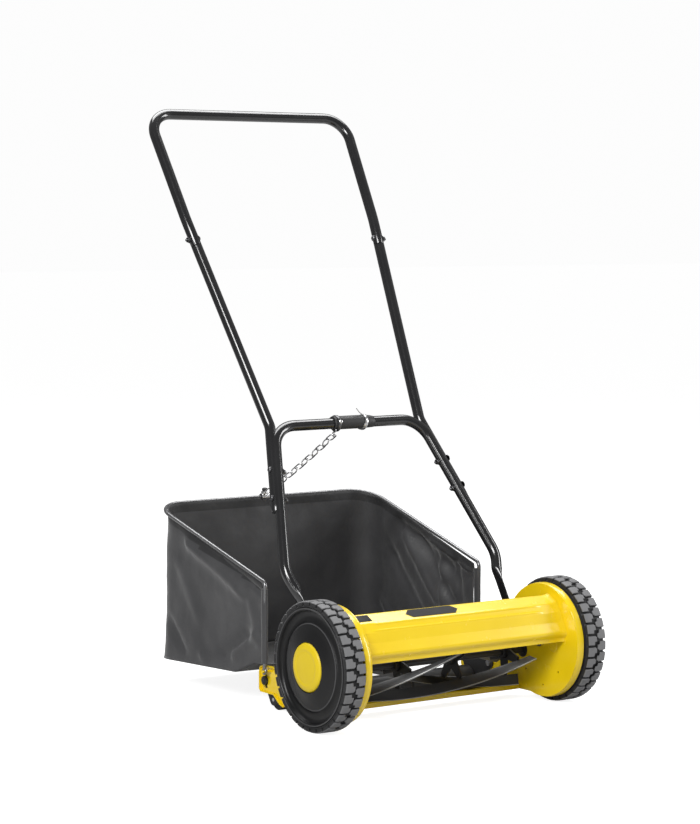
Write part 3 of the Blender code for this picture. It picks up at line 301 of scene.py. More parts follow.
# %% Helpers for node trees
def node_group(name, inputs, outputs):
    group = bpy.data.node_groups.new(name, "ShaderNodeTree")
    for label, kind, value in inputs:
        socket = group.interface.new_socket(label, in_out="INPUT", socket_type=kind)
        if value is not None:
            socket.default_value = value
    for label, kind in outputs:
        group.interface.new_socket(label, in_out="OUTPUT", socket_type=kind)
    entry = group.nodes.new("NodeGroupInput")
    leave = group.nodes.new("NodeGroupOutput")
    return group, entry.outputs, leave.inputs


def wire(tree, source, target):
    if hasattr(source, "is_linked") or hasattr(source, "links"):
        tree.links.new(source, target)
    else:
        target.default_value = source


def math_node(tree, operation, first, second=0.0, third=0.0):
    made = tree.nodes.new("ShaderNodeMath")
    made.operation = operation
    for socket, value in zip(made.inputs, (first, second, third)):
        wire(tree, value, socket)
    return made.outputs[0]


def noise_node(tree, vector, scale, detail=3.0, roughness=0.5):
    made = tree.nodes.new("ShaderNodeTexNoise")
    wire(tree, vector, made.inputs["Vector"])
    wire(tree, scale, made.inputs["Scale"])
    made.inputs["Detail"].default_value = detail
    made.inputs["Roughness"].default_value = roughness
    return made.outputs["Fac"]


def mix_colours(tree, share, first, second):
    made = tree.nodes.new("ShaderNodeMix")
    made.data_type = "RGBA"
    wire(tree, share, made.inputs[0])
    wire(tree, first, made.inputs[6])
    wire(tree, second, made.inputs[7])
    return made.outputs[2]


def steps_between(tree, value, low, high):
    """0 below low, 1 above high, smooth between."""
    made = tree.nodes.new("ShaderNodeMapRange")
    made.interpolation_type = "SMOOTHSTEP"
    wire(tree, value, made.inputs["Value"])
    made.inputs["From Min"].default_value = low
    made.inputs["From Max"].default_value = high
    return made.outputs["Result"]


# %% [markdown]
# The first group drifts slowly between two tints and two roughnesses, as paint, plastic and
# rubber all do. The second gives a fine grain for a bump. The third leaves sparse specks,
# for dust and small chips.

# %% Group: drift between two tints
DRIFT, drift_in, drift_out = node_group(
    "tint_drift",
    [("Vector", "NodeSocketVector", None), ("Tint A", "NodeSocketColor", (1, 1, 1, 1)),
     ("Tint B", "NodeSocketColor", (1, 1, 1, 1)), ("Scale", "NodeSocketFloat", 12.0),
     ("Rough", "NodeSocketFloat", 0.4), ("Spread", "NodeSocketFloat", 0.1)],
    [("Colour", "NodeSocketColor"), ("Roughness", "NodeSocketFloat")],
)
broad = noise_node(DRIFT, drift_in["Vector"], drift_in["Scale"], 4.0, 0.55)
share = steps_between(DRIFT, broad, 0.32, 0.68)
drifting = mix_colours(DRIFT, share, drift_in["Tint A"], drift_in["Tint B"])
DRIFT.links.new(drifting, drift_out["Colour"])
fine_scale = math_node(DRIFT, "MULTIPLY", drift_in["Scale"], 5.0)
fine = math_node(DRIFT, "SUBTRACT", noise_node(DRIFT, drift_in["Vector"], fine_scale), 0.5)
rough = math_node(DRIFT, "MULTIPLY_ADD", fine, drift_in["Spread"], drift_in["Rough"])
DRIFT.links.new(rough, drift_out["Roughness"])

# %% Group: fine grain
GRAIN, grain_in, grain_out = node_group(
    "fine_grain",
    [("Vector", "NodeSocketVector", None), ("Scale", "NodeSocketFloat", 900.0),
     ("Wave Scale", "NodeSocketFloat", 60.0), ("Wave Share", "NodeSocketFloat", 0.5)],
    [("Height", "NodeSocketFloat")],
)
tiny = noise_node(GRAIN, grain_in["Vector"], grain_in["Scale"], 2.0)
slow = noise_node(GRAIN, grain_in["Vector"], grain_in["Wave Scale"], 2.0)
grain_height = math_node(GRAIN, "MULTIPLY_ADD", slow, grain_in["Wave Share"], tiny)
GRAIN.links.new(grain_height, grain_out["Height"])

# %% Group: sparse specks
SPECKS, speck_in, speck_out = node_group(
    "sparse_specks",
    [("Vector", "NodeSocketVector", None), ("Scale", "NodeSocketFloat", 250.0)],
    [("Mask", "NodeSocketFloat")],
)
dots = noise_node(SPECKS, speck_in["Vector"], speck_in["Scale"], 3.0, 0.7)
patches = noise_node(SPECKS, speck_in["Vector"], 9.0, 2.0)
patch_mask = steps_between(SPECKS, patches, 0.45, 0.7)
SPECKS.links.new(
    math_node(SPECKS, "MULTIPLY", steps_between(SPECKS, dots, 0.66, 0.74), patch_mask),
    speck_out["Mask"],
)
print("shared groups:", [g.name for g in bpy.data.node_groups])

# %% [markdown]
# One builder makes the common layout: object coordinates feed the drift group for colour and
# roughness, the speck group for dust, and the grain group for the bump.

# %% Builder for a finish
def use_group(tree, group, vector, **values):
    made = tree.nodes.new("ShaderNodeGroup")
    made.node_tree = group
    tree.links.new(vector, made.inputs["Vector"])
    for label, value in values.items():
        made.inputs[label.replace("_", " ")].default_value = value
    return made.outputs


def finish(name, tint_a, tint_b, rough, spread=0.08, scale=10.0, metallic=0.0, coat=0.0,
           coat_rough=0.08, grain=900.0, wave=60.0, wave_share=0.5, bump=0.15, depth=0.0002,
           dust=(0.3, 0.29, 0.27), dust_share=0.25, speck_scale=250.0, sheen=0.0, ior=1.5):
    material = bpy.data.materials.new(name)
    material.use_nodes = True
    tree = material.node_tree
    shader = tree.nodes["Principled BSDF"]
    shader.inputs["Metallic"].default_value = metallic
    shader.inputs["Coat Weight"].default_value = coat
    shader.inputs["Coat Roughness"].default_value = coat_rough
    shader.inputs["Sheen Weight"].default_value = sheen
    shader.inputs["IOR"].default_value = ior
    vector = tree.nodes.new("ShaderNodeTexCoord").outputs["Object"]
    drift = use_group(tree, DRIFT, vector, Tint_A=(*tint_a, 1), Tint_B=(*tint_b, 1),
                      Scale=scale, Rough=rough, Spread=spread)
    specks = use_group(tree, SPECKS, vector, Scale=speck_scale)
    dusty = math_node(tree, "MULTIPLY", specks["Mask"], dust_share)
    colour = mix_colours(tree, dusty, drift["Colour"], (*dust, 1))
    tree.links.new(colour, shader.inputs["Base Color"])
    tree.links.new(drift["Roughness"], shader.inputs["Roughness"])
    height = use_group(tree, GRAIN, vector, Scale=grain, Wave_Scale=wave, Wave_Share=wave_share)
    bumped = tree.nodes.new("ShaderNodeBump")
    bumped.inputs["Strength"].default_value = bump
    bumped.inputs["Distance"].default_value = depth
    tree.links.new(height["Height"], bumped.inputs["Height"])
    tree.links.new(bumped.outputs["Normal"], shader.inputs["Normal"])
    return material


# %% [markdown]
# The finishes themselves: enamel on the pressed steel, enamel on the tubes, painted blades
# with ground edges, moulded wheels and caps, rubber, bright plated steel and soft plastic.

# %% Make the finishes
YELLOW = finish("yellow_enamel", (0.86, 0.605, 0.004), (0.90, 0.64, 0.006), 0.26, coat=0.5,
                coat_rough=0.07, grain=500, wave=90, wave_share=0.1, bump=0.04, depth=0.0001,
                dust=(0.60, 0.38, 0.01), dust_share=0.10)
TUBE_BLACK = finish("black_enamel", (0.008, 0.008, 0.009), (0.012, 0.012, 0.013), 0.20,
                    coat=0.8, coat_rough=0.05, wave=45, bump=0.08, dust_share=0.06)
BLADE_BLACK = finish("blade_paint", (0.010, 0.010, 0.011), (0.018, 0.018, 0.019), 0.42,
                     spread=0.2, coat=0.15, coat_rough=0.3, dust_share=0.10, ior=1.42)
GROUND = finish("ground_edge", (0.24, 0.24, 0.24), (0.36, 0.36, 0.35), 0.42, spread=0.2,
                metallic=1.0, grain=1400, bump=0.25, dust=(0.2, 0.17, 0.14))
WHEEL = finish("wheel_plastic", (0.006, 0.006, 0.0065), (0.010, 0.010, 0.0105), 0.33,
               grain=1200, wave_share=0.2, bump=0.14, dust_share=0.08, ior=1.38)
CAP = finish("cap_plastic", (0.72, 0.525, 0.003), (0.76, 0.56, 0.004), 0.44, coat=0.05,
             grain=1100, wave_share=0.2, bump=0.10, dust=(0.6, 0.4, 0.02), dust_share=0.10)
STEEL = finish("plated_steel", (0.62, 0.62, 0.63), (0.74, 0.74, 0.74), 0.26, spread=0.18,
               metallic=1.0, bump=0.12, dust=(0.35, 0.33, 0.3))
SOFT_BLACK = finish("soft_plastic", (0.014, 0.014, 0.015), (0.022, 0.022, 0.023), 0.50,
                    grain=1000, bump=0.25, dust_share=0.12)
LABEL = finish("label_film", (0.008, 0.008, 0.009), (0.013, 0.013, 0.014), 0.55,
               bump=0.05, dust_share=0.10, ior=1.35)
BOLT = finish("blackened_bolt", (0.10, 0.10, 0.105), (0.17, 0.17, 0.175), 0.36, spread=0.2,
              metallic=1.0, bump=0.15, dust=(0.25, 0.24, 0.22))
ROD_ENAMEL = finish("rod_enamel", (0.16, 0.16, 0.165), (0.22, 0.22, 0.225), 0.28, spread=0.15,
                    metallic=0.7, coat=0.6, bump=0.10, dust_share=0.08)
print("finishes:", [m.name for m in bpy.data.materials])

# %% [markdown]
# Tyre rubber gets a painted highlight: it is paler on top of the tread, and the grooves keep the
# rubber's own black. The material reads how far a point is from the axle, with object coordinates
# moved to the axle line.

# %% Rubber with a painted highlight on top of the tread
TREAD_RADIUS = 0.125
# Between these radii the tread tops are painted paler, as a painted highlight.
TREAD_HIGHLIGHT_START, TREAD_HIGHLIGHT_FULL = TREAD_RADIUS - 0.0034, TREAD_RADIUS - 0.0018


def axle_distance(tree):
    where = [n for n in tree.nodes if n.type == "TEX_COORD"][0].outputs["Object"]
    flatten = tree.nodes.new("ShaderNodeMapping")
    flatten.inputs["Location"].default_value = (0, -AXLE.y, -AXLE.z)
    flatten.inputs["Scale"].default_value = (0, 1, 1)
    tree.links.new(where, flatten.inputs["Vector"])
    length = tree.nodes.new("ShaderNodeVectorMath")
    length.operation = "LENGTH"
    tree.links.new(flatten.outputs["Vector"], length.inputs[0])
    return length.outputs["Value"]


def rubber_finish():
    material = finish("tyre_rubber", (0.014, 0.014, 0.015), (0.022, 0.022, 0.023), 0.62,
                      spread=0.15, grain=700, wave_share=0.3, bump=0.4, depth=0.0003,
                      dust=(0.2, 0.19, 0.17))
    tree = material.node_tree
    shader = tree.nodes["Principled BSDF"]
    # Painted highlight: the tread tops are mixed towards a pale grey.
    top = steps_between(tree, axle_distance(tree), TREAD_HIGHLIGHT_START, TREAD_HIGHLIGHT_FULL)
    old = shader.inputs["Base Color"].links[0].from_socket
    highlit_colour = mix_colours(tree, math_node(tree, "MULTIPLY", top, 0.85), old, (0.20, 0.20, 0.205, 1))
    tree.links.new(highlit_colour, shader.inputs["Base Color"])
    return material


RUBBER = rubber_finish()

# %% [markdown]
# The wheel's raised edges are smoother than its faces. Two narrow rings, at the lip and at the
# step, carry a painted highlight:
# a paler grey mixed in by the same distance from the axle.

# %% Painted highlight rings on the wheel
# Radii and half width of the two painted highlight rings.
HIGHLIGHT_RING_RADII = (0.1106, 0.0822)
HIGHLIGHT_RING_HALF_WIDTH = 0.0016


def paint_highlight_rings(material, rings, half_width):
    tree = material.node_tree
    shader = tree.nodes["Principled BSDF"]
    distance = axle_distance(tree)
    mask = 0.0
    for radius in rings:
        away = math_node(tree, "ABSOLUTE", math_node(tree, "SUBTRACT", distance, radius))
        ring = math_node(tree, "SUBTRACT", 1.0, steps_between(tree, away, 0.0, half_width))
        mask = math_node(tree, "MAXIMUM", ring, mask)
    share = math_node(tree, "MULTIPLY", mask, 0.8)
    old = shader.inputs["Base Color"].links[0].from_socket
    # Painted highlight: the rings are mixed towards a paler grey.
    highlit_colour = mix_colours(tree, share, old, (0.10, 0.10, 0.103, 1))
    tree.links.new(highlit_colour, shader.inputs["Base Color"])
    old = shader.inputs["Roughness"].links[0].from_socket
    smoother = math_node(tree, "MULTIPLY_ADD", share, -0.10, old)
    tree.links.new(smoother, shader.inputs["Roughness"])


paint_highlight_rings(WHEEL, HIGHLIGHT_RING_RADII, HIGHLIGHT_RING_HALF_WIDTH)

# %% [markdown]
# ## Tyres
# Each tyre is a turned carcass with two staggered rows of tread blocks. One block is drawn
# flat as an L-shaped outline, extruded, cut where it must bend, bevelled, and then wrapped
# round the tyre. Copies of it fill both rows.

# %% Tyre sizes and carcass
WHEEL_X = 0.290
SEAT_RADIUS = 0.1128
FLOOR_RADIUS = 0.1196
BLOCKS = 34
PITCH = FULL_TURN * TREAD_RADIUS / BLOCKS

CARCASS = [
    (SEAT_RADIUS, 0.0200), (0.1132, 0.0216), (0.1142, 0.0223), (0.1153, 0.0220),
    (0.1160, 0.0208), (0.1168, 0.0200), (0.1176, 0.0190), (0.1186, 0.0176),
    (FLOOR_RADIUS, 0.0150), (FLOOR_RADIUS, -0.0150), (0.1186, -0.0176), (0.1176, -0.0190),
    (0.1168, -0.0200), (0.1153, -0.0213), (0.1132, -0.0214), (SEAT_RADIUS, -0.0200),
]

# %% One tread block
BLOCK_OUTLINE = [
    (0.0214, 0.0026), (0.0214, PITCH - 0.0026), (0.0074, PITCH - 0.0022),
    (0.0064, PITCH - 0.0086), (0.0014, PITCH - 0.0094), (0.0014, 0.0056), (0.0050, 0.0026),
]
BLOCK_DEPTH = 0.0070
CROWN_HALF, SHOULDER, SHOULDER_DROP = 0.0150, 0.0064, 0.0017
BLOCK_CUTS = [
    ((CROWN_HALF, 0, 0), (1, 0, 0)), ((0.0186, 0, 0), (1, 0, 0)),
    ((0, PITCH / 2, 0), (0, 1, 0)),
]


def block_radius(across):
    """The tread's crown: flat in the middle and turned down over the shoulder."""
    drop = max(0.0, (abs(across) - CROWN_HALF) / SHOULDER)
    return TREAD_RADIUS - SHOULDER_DROP * drop ** 2


def make_block():
    bm = bmesh.new()
    verts = [bm.verts.new((x, along, -BLOCK_DEPTH)) for x, along in BLOCK_OUTLINE]
    face = bm.faces.new(verts)
    swept = bmesh.ops.extrude_face_region(bm, geom=[face], use_keep_orig=True)
    bmesh.ops.translate(bm, verts=new_verts(swept), vec=(0, 0, BLOCK_DEPTH))
    bmesh.ops.recalc_face_normals(bm, faces=bm.faces)
    rims = [e for e in bm.edges if all(v.co.z > -0.0001 for v in e.verts)]
    bmesh.ops.bevel(bm, geom=rims, offset=0.0007, segments=1, profile=0.5,
                    affect="EDGES", material=-1, clamp_overlap=True)
    for place, normal in BLOCK_CUTS:
        bmesh.ops.bisect_plane(bm, geom=bm.verts[:] + bm.edges[:] + bm.faces[:],
                               plane_co=place, plane_no=normal)
    mesh = bpy.data.meshes.new("tread_block")
    bm.to_mesh(mesh)
    bm.free()
    return mesh


BLOCK = make_block()
print("one tread block:", len(BLOCK.polygons), "faces")

# %% [markdown]
# Wrapping sends the block's length round the tyre and its depth along the radius. The inner
# row is the outer row turned half way round in its plane, half a block further on.

# %% Build both tyres
def wrap_block(bm, side, row, index):
    before = len(bm.verts)
    bm.from_mesh(BLOCK)
    bm.verts.ensure_lookup_table()
    shift = index * PITCH + (PITCH / 2 if row < 0 else 0)
    for vert in bm.verts[before:]:
        across, along, depth = vert.co
        if row < 0:
            across, along = -across, PITCH - along
        radius = block_radius(across) + depth
        angle = (along + shift) / TREAD_RADIUS
        vert.co = (side * across, radius * math.sin(angle), radius * math.cos(angle))


def build_tyre(side, word):
    bm = lathe(CARCASS, side, steps=102)
    for row in (1, -1):
        for index in range(BLOCKS):
            wrap_block(bm, side, row, index)
    bmesh.ops.recalc_face_normals(bm, faces=bm.faces)
    move(bm, (side * WHEEL_X, 0, 0))
    finish_piece(f"tyre_{word}_tread", bm, f"wheel_{word}_body", [RUBBER],
                 (f"tyre_{word}",), sharp=28)


for side, word in SIDES:
    build_tyre(side, word)

# %% [markdown]
# ## Wheels and hub caps
# The moulded wheel has a rounded lip, a deep dish, a raised step that catches the light, and
# a slightly conical face up to the yellow cap. Inside, its ring gear has 48 teeth.

# %% Wheel profile
WHEEL_PROFILE = [
    (0.1125, 0.0198), (0.1127, 0.0216), (0.1120, 0.0228), (0.1104, 0.0234), (0.1086, 0.0230),
    (0.1072, 0.0216), (0.1064, 0.0190), (0.1052, 0.0160), (0.1030, 0.0140), (0.0990, 0.0130),
    (0.0940, 0.0132), (0.0890, 0.0142), (0.0860, 0.0156), (0.0840, 0.0174), (0.0824, 0.0186),
    (0.0804, 0.0192), (0.0760, 0.0196), (0.0680, 0.0214), (0.0580, 0.0246), (0.0510, 0.0272),
    (0.0488, 0.0276), (0.0477, 0.0270), (0.0474, 0.0140), (0.0190, 0.0140), (0.0190, 0.0080),
    (0.0083, 0.0080), (0.0083, -0.0140), (0.0260, -0.0140), (0.0300, 0.0010),
    (0.0975, 0.0010), (0.0975, -0.0205), (0.0990, -0.0215), (0.1110, -0.0215),
    (0.1125, -0.0205),
]
RING_TEETH = 48
RING_BASE, RING_TIP = 0.0914, 0.0852
BASE_HALF, TIP_HALF = 0.0485, 0.0219
GEAR_X = 0.2725
GEAR_DIRECTION = math.atan2(-0.027, 0.060)


# %% [markdown]
# The ring gear is a plate: a circle outside and the teeth as the outline of its hole. Every
# tooth is four points, which is enough for a gear that is hidden in the wheel.

# %% Ring gear and wheels
def ring_gear(side):
    outline = []
    for tooth in range(RING_TEETH):
        middle = GEAR_DIRECTION + FULL_TURN * (tooth + 0.5) / RING_TEETH
        for radius, half in ((RING_BASE, -BASE_HALF), (RING_TIP, -TIP_HALF),
                             (RING_TIP, TIP_HALF), (RING_BASE, BASE_HALF)):
            angle = middle + half
            outline.append((radius * math.cos(angle), radius * math.sin(angle)))
    return plate([circle_points(0.0985, (0, 0), 96), outline], side * GEAR_X, side * 0.0190)


def build_wheel(side, word):
    bm = move(lathe(WHEEL_PROFILE, side, steps=128), (side * WHEEL_X, 0, 0))
    join(bm, ring_gear(side))
    finish_piece(f"wheel_{word}_moulding", bm, f"wheel_{word}_body", [WHEEL],
                 (f"wheel_{word}",))


for side, word in SIDES:
    build_wheel(side, word)

# %% [markdown]
# Each hub cap is a yellow disc with a low ridge, pressed into the wheel's middle. It is
# turned from its own profile, so that its colour meets the black plastic at a real edge.

# %% Hub caps
CAP_PROFILE = [
    (0, 0.0313), (0.0290, 0.0312), (0.0318, 0.0310), (0.0326, 0.0313), (0.0344, 0.0318),
    (0.0362, 0.0316), (0.0400, 0.0308), (0.0436, 0.0298), (0.0458, 0.0284), (0.0468, 0.0262),
    (0.0470, 0.0230), (0.0470, 0.0143), (0.0442, 0.0143), (0.0442, 0.0270), (0, 0.0285),
]
for side, word in SIDES:
    bm = move(lathe(CAP_PROFILE, side, steps=96, closed=False), (side * WHEEL_X, 0, 0))
    finish_piece(f"hub_cap_{word}_moulding", bm, f"wheel_{word}_body", [CAP],
                 (f"hub_cap_{word}",))

# %% [markdown]
# ## Side plates
# Each side plate is a pressed disc whose edge is rolled outwards, with an arm that runs back
# to the roller. The disc and arm are one filled outline with its holes. The rolled rim is a
# turned profile with a soft corner, and the arm's edges are folded out a little as well.

# %% Side plate outline
PLATE_X = 0.247
PLATE_THICK = 0.003
PLATE_RADIUS = 0.1135
ARM_BELLY = (0.178, -0.109)
ARM_END = (0.262, -0.089)
ARM_TOP = -0.039
HANDLE_SLOPE = 0.5907
LEAN = math.atan(HANDLE_SLOPE)
PLATE_HOLES = [
    ((-0.054, -0.058), 0.0022), ((-0.007, -0.090), 0.0022), ((0.073, -0.079), 0.0030),
    ((0.048, -0.065), 0.0024), ((0, 0), 0.0083), ((0.060, -0.027), 0.0163),
    ((0.165, -0.070), 0.0043), ((0.130, -0.075), 0.0035),
]


def arm_edge():
    corner = 0.012
    (belly_y, belly_z), (end_y, end_z) = ARM_BELLY, ARM_END
    return [
        ARM_BELLY, (belly_y + 0.012, belly_z + 0.004), (belly_y + 0.034, end_z),
        (end_y - 0.004, end_z), (end_y, end_z + 0.004), (end_y, ARM_TOP - corner),
        (end_y - 0.0035, ARM_TOP - 0.0035), (end_y - corner, ARM_TOP), (belly_y, ARM_TOP),
    ]


def plate_outline():
    low = math.asin(ARM_BELLY[1] / PLATE_RADIUS)
    high = math.asin((ARM_TOP + 0.012) / PLATE_RADIUS)
    sweep_angle = FULL_TURN - (high - low)
    steps = 110
    outline = []
    for step in range(steps + 1):
        angle = high + sweep_angle * step / steps
        outline.append((PLATE_RADIUS * math.cos(angle), PLATE_RADIUS * math.sin(angle)))
    return outline + arm_edge()


# %% [markdown]
# The rolled rim and the folded arm edge stiffen the thin sheet. Both are joined to the disc
# as shapes of their own, because a bend with a changing radius is easier to draw than to
# press. A round pad and the catcher's pin complete the plate.

# %% Side plate with rolled rim
RIM_PROFILE = [
    (0.1040, 0.0030), (0.1085, 0.0034), (0.1112, 0.0050), (0.1124, 0.0076), (0.1128, 0.0120),
    (0.1132, 0.0150), (0.1142, 0.0160), (0.1149, 0.0150), (0.1148, 0.0080), (0.1142, 0.0040),
    (0.1128, 0.0016), (0.1108, 0.0004), (0.1085, 0.0), (0.1040, 0.0004),
]


ARM_SLOT = [(0.2404, -0.0825), (0.2496, -0.0825), (0.2496, -0.0515), (0.2404, -0.0515)]
FOLD_REACH, FOLD_THICK = 0.0080, 0.0022
PAD_PROFILE = [(0, 0.0016), (0.0085, 0.0016), (0.0105, 0.0012), (0.0125, 0.0), (0, 0)]
PAD_PLACE = (-0.038, -0.007)
PIN_PROFILE = [(0, 0.0225), (0.0024, 0.0225), (0.003, 0.0215), (0.003, 0), (0, 0)]
PIN_PLACE = (0.228, -0.046)


def folded_edge(points, side, reach):
    bm = bmesh.new()
    _, edges = open_line(bm, [(0, y, z) for y, z in points])
    swept = bmesh.ops.extrude_edge_only(bm, edges=edges)
    bmesh.ops.translate(bm, verts=new_verts(swept), vec=(side * reach, 0, 0))
    bmesh.ops.recalc_face_normals(bm, faces=bm.faces)
    bmesh.ops.solidify(bm, geom=bm.faces[:], thickness=-FOLD_THICK)
    return bm


def build_side_plate(side, word):
    holes = [circle_points(radius, centre, 24) for centre, radius in PLATE_HOLES]
    bm = plate([plate_outline(), ARM_SLOT, *holes], side * PLATE_X, side * PLATE_THICK)
    round_edges(bm, 0.0007, 2, 50)
    join(bm, move(lathe(RIM_PROFILE, side, steps=144), (side * PLATE_X, 0, 0)))
    edge = move(folded_edge(arm_edge(), side, FOLD_REACH), (side * PLATE_X, 0, 0))
    join(bm, round_edges(edge, 0.0006, 2, 50))
    join(bm, move(lathe(PAD_PROFILE, -side, 32, False), (side * PLATE_X, *PAD_PLACE)))
    join(bm, move(lathe(PIN_PROFILE, side, 24, False), (side * (PLATE_X + 0.001), *PIN_PLACE)))
    finish_piece(f"side_plate_{word}_pressing", bm, "frame", [YELLOW],
                 (f"side_plate_{word}",), flat_sided=True)


for side, word in SIDES:
    build_side_plate(side, word)

# %% [markdown]
# ## Front cover
# The hood is one bent sheet between the side plates. Its profile is a path with rounded
# bends, swept along X in many stations, so that it can carry two shallow pressed beads and
# flare a little where it meets the plates.

# %% Cover profile and beads
COVER_STOPS = [
    ((-0.008, 0.083), 0), ((-0.018, 0.094), 0.004), ((-0.046, 0.080), 0.006),
    ((-0.058, 0.063), 0.008), ((-0.066, 0.045), 0.010), ((-0.080, 0.023), 0.007),
    ((-0.070, 0.014), 0.003), ((-0.070, 0.006), 0),
]
COVER_HALF = 0.2467
COVER_THICK = 0.0015
COVER_STATIONS = 96
FLARE_START, FLARE_RISE, FLARE_RUN = 0.232, 0.0035, 0.02
BEAD_PLACES = (0.0480, 0.0620)
BEAD_RISE, BEAD_WIDTH = 0.0009, 0.0020
BEAD_END, BEAD_FADE = 0.205, 0.012


def cover_line():
    stops = [((0, y, z), radius) for (y, z), radius in COVER_STOPS]
    return divide_line(bend_path(stops, steps=6), 0.0009)


def bead_height(x, distance):
    """Two pressed beads that run along the cover and fade out before its ends."""
    fade = clamp((BEAD_END - abs(x)) / BEAD_FADE)
    height = 0
    for middle in BEAD_PLACES:
        height += BEAD_RISE * math.exp(-(((distance - middle) / BEAD_WIDTH) ** 2))
    return height * fade


def flare_height(x, distance):
    """The cover's ends turn out a little where they meet the side plates."""
    near_end = max(0.0, (abs(x) - FLARE_START) / (COVER_HALF - FLARE_START))
    return near_end ** 2 * FLARE_RISE * min(1, distance / FLARE_RUN)


# %% Build the cover
def build_cover():
    line = cover_line()
    distances = distances_along(line)
    directions = path_directions(line, False)
    stations = [
        -COVER_HALF + 2 * COVER_HALF * i / COVER_STATIONS for i in range(COVER_STATIONS + 1)
    ]
    bm = bmesh.new()
    verts, edges = open_line(bm, [(0, point.y, point.z) for point in line])
    rows = [verts]
    for _ in stations[1:]:
        swept = bmesh.ops.extrude_edge_only(bm, edges=edges)
        edges = new_edges(swept)
        rows.append(new_verts(swept))
    for x, row in zip(stations, rows):
        for vert in row:
            flat = Vector((0, vert.co.y, vert.co.z))
            index = min(range(len(line)), key=lambda i: (line[i] - flat).length)
            rise = bead_height(x, distances[index]) + flare_height(x, distances[index])
            vert.co = line[index] + directions[index].cross(X_AXIS) * rise
            vert.co.x = x
    bmesh.ops.recalc_face_normals(bm, faces=bm.faces)
    bmesh.ops.solidify(bm, geom=bm.faces[:], thickness=COVER_THICK)
    finish_piece("front_cover_pressing", bm, "frame", [YELLOW],
                 ("front_cover",), sharp=50)


build_cover()

# %% [markdown]
# Two blank labels lie on the cover's top facet: a long black one with pointed ends, and a
# small dark one by the left wheel. Both carry no words.

# %% Labels
refined("cover_badge", "frame", [LABEL], bevel=0.0002)


SMALL_LABEL = (0.040, 0.020, 0.0005)
SMALL_LABEL_PLACE = (-0.216, -0.0322, 0.0874)


def build_small_label():
    bm = bmesh.new()
    bmesh.ops.create_cube(bm, size=1, matrix=Matrix.Diagonal((*SMALL_LABEL, 1)))
    round_edges(bm, 0.0002)
    slope = math.atan2(0.094 - 0.080, 0.046 - 0.018)
    move(turn_about(bm, "X", slope), SMALL_LABEL_PLACE)
    finish_piece("small_blank_label", bm, "frame", [LABEL])


build_small_label()

# %% [markdown]
# ## Reel and bed knife
# Each blade is a flat bar that winds about the shaft. Its section is drawn once and extruded
# in many short steps, each turned a little. The outer edge is ground bright, so the section
# has its own narrow faces there for the second material.

# %% Helical blades
REEL = Vector((0, 0.060, -0.027))
REEL_LENGTH = 0.456
TWIST = -4.51
PHASE = math.radians(174.6)
BLADE_SECTION = [(0.0480, -0.0015), (0.0686, -0.0015), (0.0700, -0.0011), (0.0700, 0.0011),
                 (0.0686, 0.0015), (0.0480, 0.0015)]
BLADE_STEPS = 72
BLADES = 5
GROUND_FROM = 0.0680


def build_blade(blade):
    bm = bmesh.new()
    start = -REEL_LENGTH / 2
    verts = [bm.verts.new((start, radial, around)) for radial, around in BLADE_SECTION]
    face = bm.faces.new(verts)
    turn_about(bm, "X", PHASE + TWIST * start + FULL_TURN * blade / BLADES)
    step = REEL_LENGTH / BLADE_STEPS
    turn = Matrix.Rotation(TWIST * step, 3, "X")
    for number in range(BLADE_STEPS):
        swept = bmesh.ops.extrude_face_region(bm, geom=[face], use_keep_orig=number == 0)
        face = [g for g in swept["geom"] if isinstance(g, bmesh.types.BMFace)][0]
        bmesh.ops.rotate(bm, cent=(0, 0, 0), matrix=turn, verts=face.verts)
        bmesh.ops.translate(bm, verts=face.verts, vec=(step, 0, 0))
    bmesh.ops.recalc_face_normals(bm, faces=bm.faces)
    for face in bm.faces:
        at_edge = all(math.hypot(v.co.y, v.co.z) > GROUND_FROM for v in face.verts)
        if at_edge and len(face.verts) == 4:
            face.material_index = 1
    move(bm, REEL)
    finish_piece(f"reel_blade_{blade + 1}_helix", bm, "reel", [BLADE_BLACK, GROUND],
                 (f"reel_blade_{blade + 1}",), sharp=30)


for blade in range(BLADES):
    build_blade(blade)

# %% [markdown]
# The spiders, shaft, knife, gears and axles are plain cut or turned parts. Their CAD shapes
# are right already, so each is refined with rounded edges instead of being drawn again.

# %% Spiders, shaft and knife
for number in (1, 2, 3, 4):
    refined(f"reel_spider_{number}", "reel", [BLADE_BLACK], bevel=0.0006)
refined("reel_shaft", "reel", [BLADE_BLACK], bevel=0.0)
refined("bed_knife", "frame", [BLADE_BLACK], bevel=0.0007)
refined("bed_knife_bar", "frame", [YELLOW], bevel=0.0009, segments=3)
for side, word in SIDES:
    refined(f"pinion_{word}", "reel", [STEEL], bevel=0.0)
    refined(f"drive_key_{word}", "reel", [STEEL], bevel=0.0003)
    refined(f"reel_bush_{word}", "frame", [SOFT_BLACK], bevel=0.0)
    refined(f"wheel_axle_{word}", "frame", [STEEL], bevel=0.0)
    refined(f"axle_nut_{word}", f"wheel_{word}_body", [STEEL], bevel=0.0)

# %% [markdown]
# Collars weld each spider to the shaft. They are short turned rings.

# %% Spider collars
COLLAR = [(0.0082, -0.010), (0.0128, -0.010), (0.0138, -0.009), (0.0138, 0.009),
          (0.0128, 0.010), (0.0082, 0.010)]
SPIDERS = 4
SPIDER_SPAN = 0.4
bm = bmesh.new()
for index in range(SPIDERS):
    x = (index - 1.5) * SPIDER_SPAN / 3
    join(bm, move(lathe(COLLAR, 1, 40), REEL + X_AXIS * x))
finish_piece("reel_spider_collars", bm, "reel", [BLADE_BLACK])

# %% [markdown]
# ## Handle
# The handle is bent from 22 mm tube. The lower handle's feet are pressed flat where they are
# bolted on, so its sweep is squashed along X there. The two middle tubes lie against its
# legs, and the upper handle slips over their ends.

